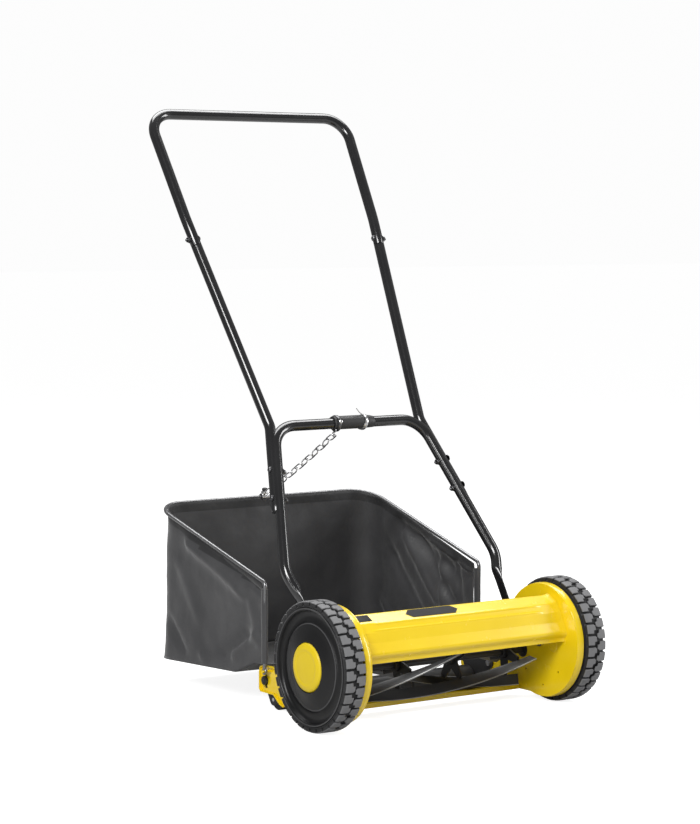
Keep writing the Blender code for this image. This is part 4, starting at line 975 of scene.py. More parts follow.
# %% Handle lines
TUBE_RADIUS = 0.011
LEG_BEND = (0.2585, 0.155)
CORNER = (0.179, 0.426)
TUBE_JOINT = (0.229, 0.784)
HANDLE_TOP = (0.249, 1.059)
PLANE_NORMAL = Vector((0, math.cos(LEAN), -math.sin(LEAN)))
FOOT_X = 0.2447
FOOT_HEIGHT = 0.116
BEND_Y = 0.162
SPIGOT = 0.034
MIDDLE_OUT, MIDDLE_UP = 0.0065, 0.0055


def on_handle(half_width, height, side=1):
    return Vector((side * half_width, BEND_Y + HANDLE_SLOPE * (height - LEG_BEND[1]), height))


def on_leg(height, side):
    """A point on the middle line of a leg, between its two bends."""
    low, high = on_handle(*LEG_BEND, side), on_handle(*CORNER, side)
    return low.lerp(high, (height - LEG_BEND[1]) / (CORNER[1] - LEG_BEND[1]))


def down_foot(distance, side):
    top = on_handle(FOOT_X, FOOT_HEIGHT, side)
    return top - Vector((0, math.sin(LEAN), math.cos(LEAN))) * distance


def outwards(side):
    up = (on_handle(*CORNER, side) - on_handle(*LEG_BEND, side)).normalized()
    out = up.cross(PLANE_NORMAL)
    return out if out.x * side > 0 else -out


# %% Lower handle
def foot_scales(path):
    """Round tube above the foot, pressed flat below it and rounded at its end."""
    scales = []
    for point in path:
        share = clamp((FOOT_HEIGHT + 0.012 - point.z) / 0.026)
        share = share * share * (3 - 2 * share)
        scales.append((1 - 0.82 * share, 1 + 0.06 * share))
    return scales


FOOT_STATIONS = (0.1525, 0.150, 0.145, 0.138, 0.12, 0.09, 0.06, 0.035, 0.022, 0.017)
END_SHRINK = (0.30, 0.62, 0.88)


def tube_piece(name, bm, node):
    finish_piece(name, bm, "frame", [TUBE_BLACK], (node,))


def build_lower_handle():
    stops = []
    ends = []
    for side in (-1, 1):
        leg = [
            (down_foot(0.012, side), 0), (on_handle(FOOT_X + 0.0035, 0.128, side), 0.05),
            (on_handle(*LEG_BEND, side), 0.07), (on_handle(*CORNER, side), 0.060),
        ]
        stops += leg if side < 0 else reversed(leg)
        ends.append([down_foot(distance, side) for distance in FOOT_STATIONS])
    path = ends[0] + bend_path(stops, 14) + ends[1][::-1]
    scales = foot_scales(path)
    for index, shrink in enumerate(END_SHRINK):
        for place in (index, -1 - index):
            scales[place] = (scales[place][0], scales[place][1] * shrink)
    bm = sweep(path, TUBE_RADIUS, sides=32, scales=scales)
    tube_piece("lower_handle_tube", bm, "lower_handle")


build_lower_handle()

# %% [markdown]
# The two middle tubes are bolted beside the legs and carry on up to the joint. Their lower
# ends are closed and rounded, which the sweep does by narrowing over its first few stops.

# %% Middle tubes
MIDDLE_START = 0.267
END_NARROWING = (0.80, 0.93, 0.97, 1)
END_DISTANCES = (0.004, 0.014, 0.030)


def middle_path(side, steps=14):
    shift = outwards(side) * MIDDLE_OUT + PLANE_NORMAL * MIDDLE_UP
    corner = on_handle(*CORNER, side) + shift
    stops = [(on_leg(MIDDLE_START, side) + shift, 0), (corner, 0.045),
             (on_handle(*TUBE_JOINT, side), 0)]
    return bend_path(stops, steps)


for side, word in SIDES:
    path = middle_path(side)
    ahead = (path[1] - path[0]).normalized()
    path = [path[0], *(path[0] + ahead * distance for distance in END_DISTANCES), *path[1:]]
    scales = [(narrow, narrow) for narrow in END_NARROWING]
    scales += [(1, 1)] * (len(path) - len(scales))
    bm = sweep(path, TUBE_RADIUS, sides=32, scales=scales)
    tube_piece(f"middle_tube_{word}_tube", bm, f"middle_tube_{word}")

# %% [markdown]
# The upper handle is one tube bent twice, open between its legs. It starts a hair's breadth
# above each middle tube, so that a fine joint line shows.

# %% Upper handle
stops = []
for side, _ in SIDES:
    path = middle_path(side)
    ahead = (path[-1] - path[-2]).normalized()
    leg = [(path[-1] + ahead * 0.0012, 0), (path[-1] + ahead * (SPIGOT + 0.030), 0.4),
           (on_handle(*HANDLE_TOP, side), 0.052)]
    stops += leg if side < 0 else reversed(leg)
upper_path = bend_path(stops, 16)
bm = sweep(upper_path, TUBE_RADIUS, sides=32)
round_edges(bm, 0.0006, 2, 60)
tube_piece("upper_handle_tube", bm, "upper_handle")

# %% [markdown]
# Bolts hold the handle together. Each has a domed head on one side and a washer, a hexagonal
# nut and a short thread end on the other. They are turned along X and then aimed.

# %% Bolts
DOME = [(0, 0.0036), (0.0022, 0.0034), (0.0042, 0.0024), (0.0053, 0.0008), (0.0055, 0), (0, 0)]
WASHER = [(0.0030, 0), (0.0068, 0), (0.0068, 0.0009), (0.0030, 0.0009)]
BOLT_END = [(0, 0.0085), (0.0022, 0.0085), (0.0029, 0.0076), (0.0029, 0), (0, 0)]
NUT_RADIUS, NUT_HOLE, NUT_DEPTH = 0.0058, 0.0030, 0.0042
LEG_BOLT_HEIGHTS = (0.290, 0.343)
FOOT_BOLT_DISTANCES = (0.092, 0.127)
FOOT_BOLT_X = 0.2468
LEG_GRIP, FOOT_GRIP, JOINT_GRIP = 0.0290, 0.0079, 0.0228


def hex_nut():
    outlines = [circle_points(NUT_RADIUS, (0, 0), 6), circle_points(NUT_HOLE, (0, 0), 18)]
    return round_edges(plate(outlines, 0.0009, NUT_DEPTH), 0.0004, 1, 40)


def bolt(centre, along, grip):
    """A bolt along a direction: its head at the far end and its nut at the near end."""
    bm = move(join(lathe(DOME, 1, 24, False), lathe(WASHER, -1, 24)), (grip / 2, 0, 0))
    tail = join(join(hex_nut(), lathe(BOLT_END, 1, 18, False)), lathe(WASHER, 1, 24))
    join(bm, move(turn_about(tail, "Z", math.pi), (-grip / 2, 0, 0)))
    turn = X_AXIS.rotation_difference(Vector(along).normalized()).to_matrix()
    bmesh.ops.rotate(bm, cent=(0, 0, 0), matrix=turn, verts=bm.verts)
    return move(bm, centre)


def bolt_piece(node, bm):
    finish_piece(f"{node}_detail", bm, "frame", [BOLT], (node,))


for side, word in SIDES:
    out = outwards(side)
    for number, height in enumerate(LEG_BOLT_HEIGHTS, start=1):
        centre = on_leg(height, side) + (out * MIDDLE_OUT + PLANE_NORMAL * MIDDLE_UP / 2) / 2
        bolt_piece(f"leg_bolt_{word}_{number}", bolt(centre, out, LEG_GRIP))
    for number, distance in enumerate(FOOT_BOLT_DISTANCES, start=1):
        spot = down_foot(distance, side)
        spot.x = side * FOOT_BOLT_X
        bolt_piece(f"foot_bolt_{word}_{number}", bolt(spot, (side, 0, 0), FOOT_GRIP))
    path = middle_path(side)
    ahead = (path[-1] - path[-2]).normalized()
    centre = path[-1] + ahead * SPIGOT * 0.5
    across = ahead.cross(PLANE_NORMAL) * side
    bolt_piece(f"joint_bolt_{word}", bolt(centre, across, JOINT_GRIP))

# %% [markdown]
# ## Crossbar sleeve, hook and chain
# A soft sleeve with a tapered end grips the crossbar. It is turned, and then pressed a
# little flat on its underside, where the eye of the chain pulls on it.

# %% Sleeve and hook
CROSSBAR = on_handle(0, CORNER[1])
SLEEVE = [
    (0.0113, -0.039), (0.0138, -0.039), (0.0147, -0.0382), (0.0148, -0.0370), (0.0148, 0.034),
    (0.0145, 0.044), (0.0132, 0.054), (0.0117, 0.061), (0.0113, 0.061),
]
FLAT_FROM, FLAT_SHARE, FLAT_LOWEST = 0.0114, 0.86, -0.0125
bm = lathe(SLEEVE, 1, 64)
for vert in bm.verts:
    if vert.co.z < 0 and abs(vert.co.z) > FLAT_FROM:
        vert.co.z = max(vert.co.z * FLAT_SHARE, FLAT_LOWEST)
move(bm, CROSSBAR)
finish_piece("crossbar_sleeve_grip", bm, "frame", [SOFT_BLACK],
             ("crossbar_sleeve",))

# %% [markdown]
# The chain hangs from an eye on a black band. A bright screw head closes that band, and a
# second band of bright strip closes the sleeve's tapered end, with its wire end standing up.

# %% Bands, screw and wire
HOOK_X = -0.034
BAND = [(0.0150, 0.003), (0.0150, -0.003), (0.0164, -0.0034), (0.0169, -0.0026),
        (0.0169, 0.0026), (0.0164, 0.0034)]
SCREW_HEAD = [(0, 0.0034), (0.0024, 0.0031), (0.0040, 0.0018), (0.0044, 0), (0, 0)]
SECOND_BAND_X, SECOND_BAND_TILT = 0.036, 0.22


def second_material(bm, first, last=None):
    """Gives a run of faces the piece's second finish."""
    bm.faces.ensure_lookup_table()
    for face in bm.faces[first:last]:
        face.material_index = 1


hook_eye = CROSSBAR + Vector((HOOK_X, 0, -0.0222))
bm = move(lathe(BAND, 1, 56), CROSSBAR + X_AXIS * (HOOK_X + 0.004))
bright_from = len(bm.faces)
eye_path = [hook_eye + Vector((0, math.cos(a), math.sin(a))) * 0.0049
            for a in (FULL_TURN * i / 32 for i in range(32))]
join(bm, sweep(eye_path, 0.0014, 12, closed=True))
screw = turn_about(lathe(SCREW_HEAD, 1, 28, False), "Z", -math.pi / 2 - 0.35)
join(bm, move(screw, CROSSBAR + Vector((HOOK_X + 0.006, -0.0146, 0.0040))))
second = [(radius - 0.0006, along * 1.2) for radius, along in BAND]
band = turn_about(lathe(second, 1, 56), "Y", SECOND_BAND_TILT)
join(bm, move(band, CROSSBAR + X_AXIS * SECOND_BAND_X))
wire_start = CROSSBAR + Vector((0.034, -0.004, 0.0150))
wire_path = bend_path([(wire_start, 0), (wire_start + Vector((-0.010, -0.002, 0.006)), 0.008),
                       (wire_start + Vector((-0.017, -0.002, 0.014)), 0)], 6)
join(bm, sweep(wire_path, 0.0009, 10))
second_material(bm, 0, bright_from)
finish_piece("chain_hook_band", bm, "frame", [STEEL, BOLT], ("chain_hook",))

# %% [markdown]
# The chain is held at both ends. Its thirteen links are bent from wire, each a closed sweep
# turned a quarter turn from the last one, along a line that sags a few millimetres.

# %% Chain
LINKS = 13
LINK_WIRE, LINK_WIDTH, LINK_BITE = 0.0028, 0.0156, 0.0004
CLIP_TOP = Vector((0, 0.634, 0.247))
SAG = 0.004


def link_path(centre, length, along, across):
    end = (LINK_WIDTH - LINK_WIRE) / 2
    straight = length / 2 - LINK_WIRE / 2 - end
    points = []
    for sign in (1, -1):
        for step in range(9):
            angle = math.pi * (step / 8 - 0.5)
            reach = along * (sign * (straight + end * math.cos(angle)))
            points.append(centre + reach + across * (sign * end * math.sin(angle)))
    return points


def build_chain():
    start = hook_eye
    run = CLIP_TOP + Vector((0, -0.005, 0.008)) - start
    overall = run.length + LINK_WIRE / 2 - 0.0006
    length = (overall + (LINKS - 1) * (2 * LINK_WIRE - LINK_BITE)) / LINKS
    pitch = length - 2 * LINK_WIRE + LINK_BITE
    along = run.normalized()
    turned = Vector((0.82, -0.57, 0))
    sideways = (turned - along * along.dot(turned)).normalized()
    upright = along.cross(sideways)
    bm = bmesh.new()
    for number in range(LINKS):
        share = (number + 0.5) / LINKS
        centre = start + along * ((length - LINK_WIRE) / 2 + pitch * number)
        centre -= UP * (SAG * 4 * share * (1 - share))
        across = sideways if number % 2 == 0 else upright
        link = link_path(centre, length, along, across)
        join(bm, sweep(link, LINK_WIRE / 2, 12, closed=True, flat_axis=along.cross(across)))
    finish_piece("chain_links", bm, "support_chain", [STEEL], ("chain",))


build_chain()

# %% [markdown]
# The chain ends at a clip on the catcher's rim: a bright folded strap with a dark knob.
# Strap and knob are turned, and the block between them is a cube with rounded edges.

# %% Chain clip
STRAP = [(0.0066, -0.010), (0.0066, 0.010), (0.0078, 0.010), (0.0078, -0.010)]
CLIP_KNOB = [(0, 0.0075), (0.0040, 0.0075), (0.0058, 0.0060), (0.0062, 0.0040), (0.0050, 0.0),
             (0, 0)]
bm = bmesh.new()
bmesh.ops.create_cube(bm, size=1, matrix=Matrix.Diagonal((0.014, 0.010, 0.008, 1)))
round_edges(bm, 0.0018, 3)
move(bm, CLIP_TOP + Vector((0, 0, 0.0083)))
join(bm, round_edges(move(lathe(STRAP, 1, 40), CLIP_TOP), 0.0003, 1))
knob = turn_about(lathe(CLIP_KNOB, 1, 32, False), "Y", -math.pi / 2)
steel_faces = len(bm.faces)
join(bm, move(knob, CLIP_TOP + Vector((0, 0, 0.0118))))
second_material(bm, steel_faces)
finish_piece("chain_clip_strap", bm, "grass_catcher", [STEEL, SOFT_BLACK],
             ("chain_clip",))

# %% [markdown]
# ## Rear roller and height adjuster
# The roller is three hard plastic drums on one axle. It turns in two brackets that tilt
# about a stud and are clamped by ribbed knobs.

# %% Roller
ROLLER = Vector((0, 0.225, -0.103))
ROLLER_PROFILE = [(0.0043, -0.236), (0.0205, -0.236), (0.0220, -0.2345)]
for gap in (-0.079, 0.079):
    ROLLER_PROFILE += [(0.0220, gap - 0.0032), (0.0208, gap - 0.0020), (0.0190, gap - 0.0016),
                       (0.0190, gap + 0.0016), (0.0208, gap + 0.0020), (0.0220, gap + 0.0032)]
ROLLER_PROFILE += [(0.0220, 0.2345), (0.0205, 0.236), (0.0043, 0.236)]
bm = move(lathe(ROLLER_PROFILE, 1, 96), ROLLER)
finish_piece("roller_drums", bm, "ground_roller", [SOFT_BLACK], ("roller",))
refined("roller_axle", "height_adjuster", [STEEL], bevel=0.0004)
for side, word in SIDES:
    refined(f"roller_bracket_{word}", "height_adjuster", [SOFT_BLACK],
            bevel=0.0005)
    refined(f"adjuster_pivot_{word}", "height_adjuster", [STEEL], bevel=0.0)

# %% [markdown]
# The clamping knobs have twelve ribs for the fingers. Their rim is a plate whose outline
# steps between two radii, and the boss and stud are turned.

# %% Ribbed knobs
RIM_POINTS = 48
RIB_RADIUS, GROOVE_RADIUS = 0.0090, 0.0082
BOSS = [(0, 0.0085), (0.0042, 0.0085), (0.0052, 0.0078), (0.0056, 0.0060), (0, 0.0060)]
STUD = [(0, 0.001), (0.003, 0.001), (0.003, -0.0090), (0, -0.0090)]
KNOB_PLACE = (0.250, 0.245, -0.067)
for side, word in SIDES:
    rim = []
    for i in range(RIM_POINTS):
        radius = RIB_RADIUS if i % 4 in (0, 1) else GROOVE_RADIUS
        angle = FULL_TURN * i / RIM_POINTS
        rim.append((radius * math.cos(angle), radius * math.sin(angle)))
    bm = round_edges(plate([rim], 0.0003 * side, 0.0062 * side), 0.0007, 2, 60)
    join(bm, lathe(BOSS, side, 32, False))
    join(bm, lathe(STUD, side, 24, False))
    move(bm, (side * KNOB_PLACE[0], *KNOB_PLACE[1:]))
    finish_piece(f"height_knob_{word}_ribbed", bm, "height_adjuster", [SOFT_BLACK],
                 (f"height_knob_{word}",))

# %% [markdown]
# ## Grass catcher
# The catcher hangs from a bent rod. The rod runs from an eye on each side plate up to a
# tight front corner, back along the sides and round the rear rim.

# %% Catcher rod
ROD = 0.004
ROD_FRONT = (0.264, 0.225, 0.130)
ROD_REAR = (0.273, 0.634, 0.247)
REAR_BEND = 0.060
PIVOT = PIN_PLACE
ROD_EYE = [(0.0033, -0.003), (0.0062, -0.003), (0.0068, -0.0022), (0.0068, 0.0022),
           (0.0062, 0.003), (0.0033, 0.003)]


def rod_stops():
    stops = []
    for side in (-1, 1):
        leg = [
            (Vector((side * ROD_FRONT[0], PIVOT[0], PIVOT[1] + 0.0058)), 0),
            (Vector((side * ROD_FRONT[0], ROD_FRONT[1], ROD_FRONT[2])), 0.014),
            (Vector((side * ROD_REAR[0], ROD_REAR[1], ROD_REAR[2])), REAR_BEND),
        ]
        stops += leg if side < 0 else reversed(leg)
    return stops


bm = sweep(bend_path(rod_stops(), 16), ROD, sides=20)
for side, _ in SIDES:
    join(bm, move(lathe(ROD_EYE, 1, 36), (side * ROD_FRONT[0], *PIVOT)))
finish_piece("catcher_frame_rod", bm, "grass_catcher", [ROD_ENAMEL],
             ("catcher_frame",))

# %% [markdown]
# The bag is a lofted shell of coated woven cloth. Its walls are one long sheet that goes
# round three sides, from front corner to rear corners to front corner, and its bottom is a
# second sheet sewn to the walls' lower edge. Both are grids whose vertices are placed by the
# rod above and the seam below, and then pushed in and out for sag, pulled folds and creases.

# %% Weave material
WEAVE, weave_in, weave_out = node_group(
    "woven_cloth",
    [("Vector", "NodeSocketVector", None), ("Threads", "NodeSocketFloat", 4000.0)],
    [("Height", "NodeSocketFloat"), ("Mask", "NodeSocketFloat")],
)
split = WEAVE.nodes.new("ShaderNodeSeparateXYZ")
WEAVE.links.new(weave_in["Vector"], split.inputs[0])
waves = []
for axis in ("X", "Y"):
    scaled = math_node(WEAVE, "MULTIPLY", split.outputs[axis], weave_in["Threads"])
    waves.append(math_node(WEAVE, "SINE", scaled))
woven = math_node(WEAVE, "MULTIPLY", waves[0], waves[1])
WEAVE.links.new(math_node(WEAVE, "MULTIPLY_ADD", woven, 0.5, 0.5), weave_out["Height"])
WEAVE.links.new(steps_between(WEAVE, woven, -0.2, 0.6), weave_out["Mask"])


def cloth_finish(name, dark, light, threads):
    material = bpy.data.materials.new(name)
    material.use_nodes = True
    tree = material.node_tree
    shader = tree.nodes["Principled BSDF"]
    shader.inputs["Sheen Weight"].default_value = 0.25
    shader.inputs["Sheen Roughness"].default_value = 0.4
    shader.inputs["IOR"].default_value = 1.45
    coordinates = tree.nodes.new("ShaderNodeTexCoord")
    drift = use_group(tree, DRIFT, coordinates.outputs["Object"], Tint_A=(*dark, 1),
                      Tint_B=(*light, 1), Scale=7.0, Rough=0.47, Spread=0.2)
    weave = use_group(tree, WEAVE, coordinates.outputs["UV"], Threads=threads)
    thread_share = math_node(tree, "MULTIPLY", weave["Mask"], 0.45)
    bright = tuple(min(1.0, c * 1.9) for c in light)
    colour = mix_colours(tree, thread_share, drift["Colour"], (*bright, 1))
    tree.links.new(colour, shader.inputs["Base Color"])
    tree.links.new(drift["Roughness"], shader.inputs["Roughness"])
    fine_bump = tree.nodes.new("ShaderNodeBump")
    fine_bump.inputs["Strength"].default_value = 0.35
    fine_bump.inputs["Distance"].default_value = 0.0004
    tree.links.new(weave["Height"], fine_bump.inputs["Height"])
    crease = tree.nodes.new("ShaderNodeBump")
    crease.inputs["Strength"].default_value = 0.35
    crease.inputs["Distance"].default_value = 0.004
    wrinkles = use_group(tree, GRAIN, coordinates.outputs["Object"], Scale=28.0, Wave_Scale=9.0,
                         Wave_Share=1.2)
    tree.links.new(wrinkles["Height"], crease.inputs["Height"])
    tree.links.new(fine_bump.outputs["Normal"], crease.inputs["Normal"])
    tree.links.new(crease.outputs["Normal"], shader.inputs["Normal"])
    return material


CLOTH = cloth_finish("catcher_cloth", (0.034, 0.034, 0.036), (0.054, 0.054, 0.056), 2700.0)
HEM = cloth_finish("hem_tape", (0.016, 0.016, 0.017), (0.026, 0.026, 0.027), 3600.0)


def thicken_cloth(piece):
    """The modifier that gives a cloth sheet its thickness, half to each side."""
    thick = piece.modifiers.new("cloth thickness", "SOLIDIFY")
    thick.thickness = 0.0012
    thick.offset = 0


def flat_uv(bm, first, second):
    """A UV map in metres, read from two of the vertices' coordinates."""
    uv = bm.loops.layers.uv.new("UVMap")
    for face in bm.faces:
        for loop in face.loops:
            loop[uv].uv = (loop.vert.co[first], loop.vert.co[second])


# %% Walls of the bag
INSET = 0.0044
BOTTOM_BULGE = 0.010
HEM_WIDTH = 0.022
BOTTOM_LINE = [(0.236, -0.0345), (0.268, -0.0345), (0.335, -0.062), (0.594, -0.070)]
FRONT_Y = 0.236
REAR_Y = ROD_REAR[1] - INSET
WALL_ROWS = 44


def along_line(line, y):
    for (y0, z0), (y1, z1) in zip(line, line[1:]):
        if y <= y1:
            return z0 + (z1 - z0) * max(0.0, (y - y0) / (y1 - y0))
    return line[-1][1]


def plan_path():
    """The walls seen from above: front left, rear left, rear right, front right."""
    corners = [
        (Vector((-(ROD_FRONT[0] - INSET), FRONT_Y, 0)), 0),
        (Vector((-(ROD_REAR[0] - INSET), REAR_Y, 0)), REAR_BEND - INSET),
        (Vector((ROD_REAR[0] - INSET, REAR_Y, 0)), REAR_BEND - INSET),
        (Vector((ROD_FRONT[0] - INSET, FRONT_Y, 0)), 0),
    ]
    return divide_line(bend_path(corners, 10), 0.0075)


def rim_height(y):
    front, rear = ROD_FRONT[2] - 0.003, ROD_REAR[2] + 0.002
    return front + (rear - front) * (y - FRONT_Y) / (REAR_Y - FRONT_Y)


# %% [markdown]
# A pulled fold is a ridge along a line. Each row gives the line's two ends, as distances
# from the front edge and down from the rim, then the ridge's width and its height. A
# negative height is a groove. The rear folds are measured along the rear wall.

# %% Folds of the walls
SIDE_FOLDS = [
    ((0.262, 0.030), (0.085, 0.046), 0.017, 0.0125),
    ((0.150, 0.014), (0.014, 0.022), 0.006, -0.0060),
    ((0.340, 0.225), (0.285, 0.262), 0.012, -0.0070),
    ((0.215, 0.242), (0.185, 0.282), 0.012, 0.0080),
    ((0.150, 0.205), (0.060, 0.130), 0.014, -0.0080),
    ((0.110, 0.190), (0.020, 0.110), 0.010, 0.0075),
    ((0.310, 0.090), (0.240, 0.170), 0.020, 0.0030),
    ((0.050, 0.060), (0.016, 0.130), 0.012, 0.0030),
]
RIGHT_FOLDS = [
    ((0.250, 0.040), (0.130, 0.130), 0.014, -0.0075),
    ((0.205, 0.030), (0.070, 0.110), 0.012, 0.0080),
    ((0.290, 0.110), (0.170, 0.200), 0.018, 0.0065),
    ((0.120, 0.035), (0.100, 0.150), 0.012, -0.0070),
    ((0.060, 0.020), (0.045, 0.120), 0.010, 0.0055),
]
REAR_FOLDS = [
    ((0.120, 0.050), (0.070, 0.190), 0.022, 0.0030),
    ((0.260, 0.040), (0.235, 0.230), 0.028, -0.0025),
    ((0.400, 0.060), (0.440, 0.220), 0.024, 0.0030),
]


BELLY = 0.006
REAR_WALL_START = 0.36


def fold_height(spot, lines):
    height = 0.0
    for start, end, width, depth in lines:
        start, end = Vector(start), Vector(end)
        run = end - start
        share = clamp((spot - start).dot(run) / run.length_squared)
        distance = (spot - start - run * share).length
        height += depth * math.exp(-((distance / width) ** 2))
    return height


def folds(place, walked, length, drop, height):
    """How far the cloth stands out of its plain wall: sag, pulled folds and small creases."""
    reach = clamp((place.y - FRONT_Y) / (REAR_Y - FRONT_Y))
    down = drop * height
    bulge = BOTTOM_BULGE * reach * drop
    belly = -BELLY * math.sin(math.pi * drop) * math.sin(math.pi * reach)
    from_front = min(walked, length - walked)
    pull = fold_height(Vector((from_front, down)), SIDE_FOLDS)
    if place.x > 0:
        pull += fold_height(Vector((from_front, down)), RIGHT_FOLDS)
    rear_share = clamp(reach * 1.2 - 0.2)
    pull += fold_height(Vector((walked - REAR_WALL_START, down)), REAR_FOLDS) * rear_share
    seed = Vector((place.x * 7, place.y * 9, drop * 2.2))
    crumple = 0.0030 * noise.noise(seed) + 0.0018 * noise.noise(seed * 3.1)
    hold = min(1.0, drop * 12) * min(1.0, (1 - drop) * 9)
    return bulge + (belly + pull + crumple) * hold


# %% [markdown]
# The wall sheet starts as a grid. Each column stands at a point of the plan line and runs
# from rim to seam, and the UV map is the flat cloth in metres, so the weave never stretches.

# %% Build the walls
def build_walls():
    plan = plan_path()
    directions = path_directions(plan, False)
    walked = distances_along(plan)
    bm = bmesh.new()
    grid = bmesh.ops.create_grid(
        bm, x_segments=len(plan) - 1, y_segments=WALL_ROWS, size=1, calc_uvs=False,
    )
    uv = bm.loops.layers.uv.new("UVMap")
    columns = []
    for vert in grid["verts"]:
        column = round((vert.co.x + 1) / 2 * (len(plan) - 1))
        columns.append((vert, column, (1 - vert.co.y) / 2))
    homes = {}
    for vert, column, drop in columns:
        place = plan[column]
        top, low = rim_height(place.y), along_line(BOTTOM_LINE, place.y)
        out = UP.cross(directions[column])
        spot = Vector((place.x, place.y, top + (low - top) * drop))
        vert.co = spot + out * folds(place, walked[column], walked[-1], drop, top - low)
        homes[vert.index] = (walked[column], top - spot.z)
    bm.verts.index_update()
    for face in bm.faces:
        for loop in face.loops:
            loop[uv].uv = homes[loop.vert.index]
        if all(homes[vert.index][1] < HEM_WIDTH + 0.002 for vert in face.verts):
            face.material_index = 1
    bmesh.ops.recalc_face_normals(bm, faces=bm.faces)
    height = rim_height(REAR_Y) - BOTTOM_LINE[-1][1]
    return bm, walked[-1], height, sum(face.calc_area() for face in bm.faces)


bm, wall_length, wall_height, wall_area = build_walls()
walls = finish_piece("catcher_bag_walls", bm, "grass_catcher", [CLOTH, HEM],
                     ("catcher_bag",), sharp=180)
thicken_cloth(walls)
print("walls:", round(wall_length, 3), "by", round(wall_height, 3), "area", round(wall_area, 4))

# %% [markdown]
# The bottom sheet follows the walls' lower edge, which steps down behind the roller, and
# sags a little between the sides.

# %% Bottom of the bag
def bottom_half_width(y):
    front, rear = ROD_FRONT[0] - INSET, ROD_REAR[0] - INSET
    share = (y - FRONT_Y) / (REAR_Y - FRONT_Y)
    half = front + (rear - front) * share + BOTTOM_BULGE * min(1.0, share)
    corner = REAR_BEND - INSET + BOTTOM_BULGE
    past = max(0.0, y - (REAR_Y + BOTTOM_BULGE - corner))
    if past > 0:
        half -= corner - math.sqrt(max(0.0, corner ** 2 - min(past, corner) ** 2))
    return half


BOTTOM_SAG, BOTTOM_WRINKLE, BOTTOM_LOWEST = 0.0030, 0.0020, -0.004


def build_bottom():
    bm = bmesh.new()
    bmesh.ops.create_grid(bm, x_segments=60, y_segments=56, size=1)
    end_y = REAR_Y + BOTTOM_BULGE
    for vert in bm.verts:
        side_share, share = vert.co.x, (vert.co.y + 1) / 2
        y = FRONT_Y + (end_y - FRONT_Y) * share
        z = along_line(BOTTOM_LINE, y)
        sag = -BOTTOM_SAG * (1 - side_share ** 2) * math.sin(math.pi * share)
        seed = Vector((side_share * 3, share * 5, 0))
        wrinkle = BOTTOM_WRINKLE * noise.noise(seed) * (1 - abs(side_share))
        lift = max(BOTTOM_LOWEST, sag + wrinkle)
        vert.co = (side_share * bottom_half_width(y), y, z + lift)
    flat_uv(bm, 0, 1)
    bmesh.ops.recalc_face_normals(bm, faces=bm.faces)
    return bm, sum(face.calc_area() for face in bm.faces)


bm, bottom_area = build_bottom()
bottom = finish_piece("catcher_bag_bottom", bm, "grass_catcher", [CLOTH],
                      (), sharp=180)
thicken_cloth(bottom)

# %% [markdown]
# The walls' front edges are sewn into sleeves that slip over the upright ends of the rod.
# Each sleeve is a sweep that is longer along Y than across, with a little wobble.

# %% Front sleeves
SLEEVE_TOP, SLEEVE_DROP, SLEEVE_STEPS = 0.117, 0.117 + 0.030, 28
SLEEVE_X, SLEEVE_Y, SLEEVE_RADIUS = ROD_FRONT[0] - 0.0008, 0.2295, 0.0088
for side, word in SIDES:
    path = []
    for step in range(SLEEVE_STEPS + 1):
        z = SLEEVE_TOP - SLEEVE_DROP * step / SLEEVE_STEPS
        path.append(Vector((side * SLEEVE_X, SLEEVE_Y, z)))
    scales = []
    for point in path:
        wobble = 0.06 * noise.noise(point * 40)
        scales.append((0.62 + wobble, 1.0 + wobble))
    bm = sweep(path, SLEEVE_RADIUS, sides=24, scales=scales)
    flat_uv(bm, 1, 2)
    finish_piece(f"catcher_front_sleeve_{word}", bm, "grass_catcher", [CLOTH],
                 (), sharp=60)

# %% [markdown]
# Stitches are short threads, fourteen faces each, set in a row down the front edge of each wall.

# %% Stitches
THREAD = finish("thread", (0.10, 0.10, 0.105), (0.15, 0.15, 0.155), 0.7, bump=0.3)
STITCH_PITCH, STITCH_HALF, STITCH_RISE, STITCH_RADIUS = 0.0062, 0.0019, 0.0004, 0.00045


def stitch_row(bm, start, end, outward):
    run = end - start
    count = max(1, int(run.length / STITCH_PITCH))
    ahead = run.normalized()
    for index in range(count):
        middle = start + run * ((index + 0.5) / count)
        rise = outward * STITCH_RISE
        points = [middle - ahead * STITCH_HALF - rise, middle + rise,
                  middle + ahead * STITCH_HALF - rise]
        join(bm, sweep(points, STITCH_RADIUS, 6, flat_axis=outward))


bm = bmesh.new()
for side, _ in SIDES:
    y = FRONT_Y + 0.0065
    face_x = side * (ROD_FRONT[0] - INSET + 0.0011)
    stitch_row(bm, Vector((face_x, y, rim_height(y) - 0.030)),
               Vector((face_x, y, along_line(BOTTOM_LINE, y) + 0.006)), X_AXIS * side)
finish_piece("catcher_front_stitches", bm, "grass_catcher", [THREAD])

# %% [markdown]
# ## Studio
# The floor is one pale square that is wide enough to hide its edge. Light Path makes it
# bright for the camera only, so the backdrop is white and the mower still gets its shadow.

# %% Floor
FLOOR_HALF = 40.0


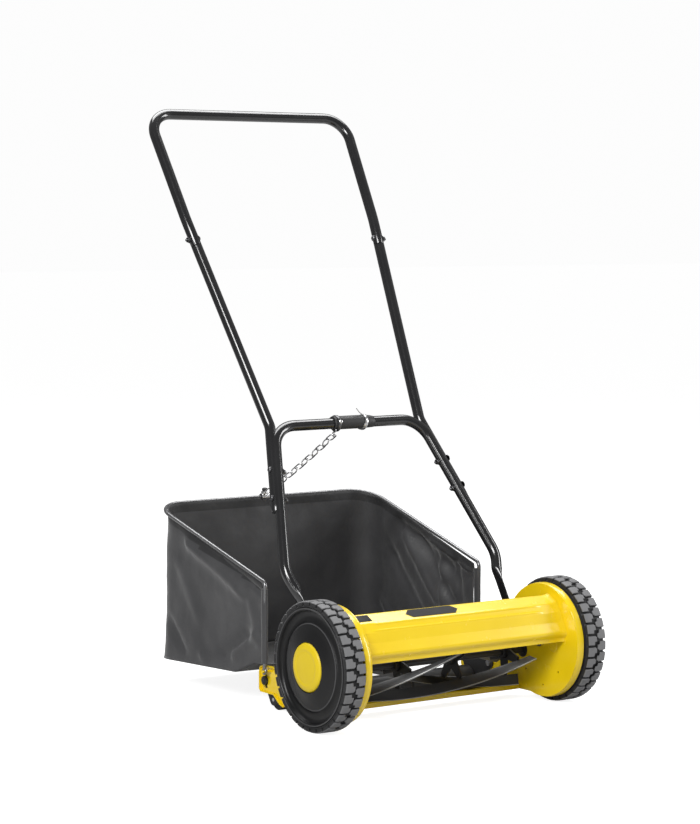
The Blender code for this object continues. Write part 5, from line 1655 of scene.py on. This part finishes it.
def pale_floor():
    bm = bmesh.new()
    verts = [bm.verts.new((-FLOOR_HALF, y, -AXLE.z)) for y in (-FLOOR_HALF, FLOOR_HALF)]
    swept = bmesh.ops.extrude_edge_only(bm, edges=[bm.edges.new(verts)])
    bmesh.ops.translate(bm, verts=new_verts(swept), vec=(2 * FLOOR_HALF, 0, 0))
    bmesh.ops.translate(bm, verts=bm.verts, vec=AXLE)
    bmesh.ops.recalc_face_normals(bm, faces=bm.faces)
    mesh = bpy.data.meshes.new("studio_floor")
    bm.to_mesh(mesh)
    bm.free()
    mesh.shade_smooth()
    floor = bpy.data.objects.new("studio_floor", mesh)
    bpy.context.scene.collection.objects.link(floor)
    material = bpy.data.materials.new("studio_white")
    material.use_nodes = True
    shader = material.node_tree.nodes["Principled BSDF"]
    shader.inputs["Base Color"].default_value = (0.50, 0.50, 0.50, 1)
    shader.inputs["Roughness"].default_value = 0.85
    shader.inputs["Emission Color"].default_value = (1, 1, 1, 1)
    tree = material.node_tree
    straight = tree.nodes.new("ShaderNodeLightPath").outputs["Is Camera Ray"]
    tree.links.new(math_node(tree, "MULTIPLY", straight, 0.87), shader.inputs["Emission Strength"])
    mesh.materials.append(material)


pale_floor()


# %% [markdown]
# A soft key light stands at the front left, a wide top light draws long highlights on the
# tubes, and weaker lights stand at both sides. The world gives an even, dim fill, and is
# white where the camera sees it.

# %% Lights
def area_light(name, place, target, size, power):
    data = bpy.data.lights.new(name, "AREA")
    data.shape = "RECTANGLE"
    data.size, data.size_y = size
    data.energy = power
    lamp = bpy.data.objects.new(name, data)
    bpy.context.scene.collection.objects.link(lamp)
    lamp.location = place
    aim = Vector(target) - Vector(place)
    lamp.rotation_euler = aim.to_track_quat("-Z", "Y").to_euler()


area_light("key_light", (-3.0, -2.4, 2.8), (0, 0, 0.4), (1.6, 1.6), 138)
area_light("top_light", (0.6, 1.0, 3.2), (0, 0, 0.3), (3.4, 1.6), 105)
area_light("side_light", (3.2, -2.0, 1.6), (0, 0, 0.4), (0.8, 2.4), 60)
area_light("tube_light", (-3.6, -1.6, 1.3), (0, 0, 0.7), (0.3, 2.4), 18)

world = bpy.data.worlds.new("studio_air")
world.use_nodes = True
air = world.node_tree
seen = air.nodes.new("ShaderNodeLightPath").outputs["Is Camera Ray"]
background = air.nodes["Background"]
background.inputs["Color"].default_value = (1, 1, 1, 1)
air.links.new(math_node(air, "MULTIPLY_ADD", seen, 0.76, 0.22), background.inputs["Strength"])
bpy.context.scene.world = world
bpy.context.scene.view_settings.view_transform = "Standard"

# %% [markdown]
# ## Camera
# The camera looks slightly down at the mower's front left, through a long lens.

# %% Camera
camera_data = bpy.data.cameras.new("camera")
camera_data.lens = 111.63
camera_data.sensor_width = 36
camera = bpy.data.objects.new("camera", camera_data)
bpy.context.scene.collection.objects.link(camera)
camera.location = (-2.964, -4.231, 0.959)
view = Vector((-0.219, -0.291, 0.6019)) - camera.location
camera.rotation_euler = view.to_track_quat("-Z", "Y").to_euler()
bpy.context.scene.camera = camera
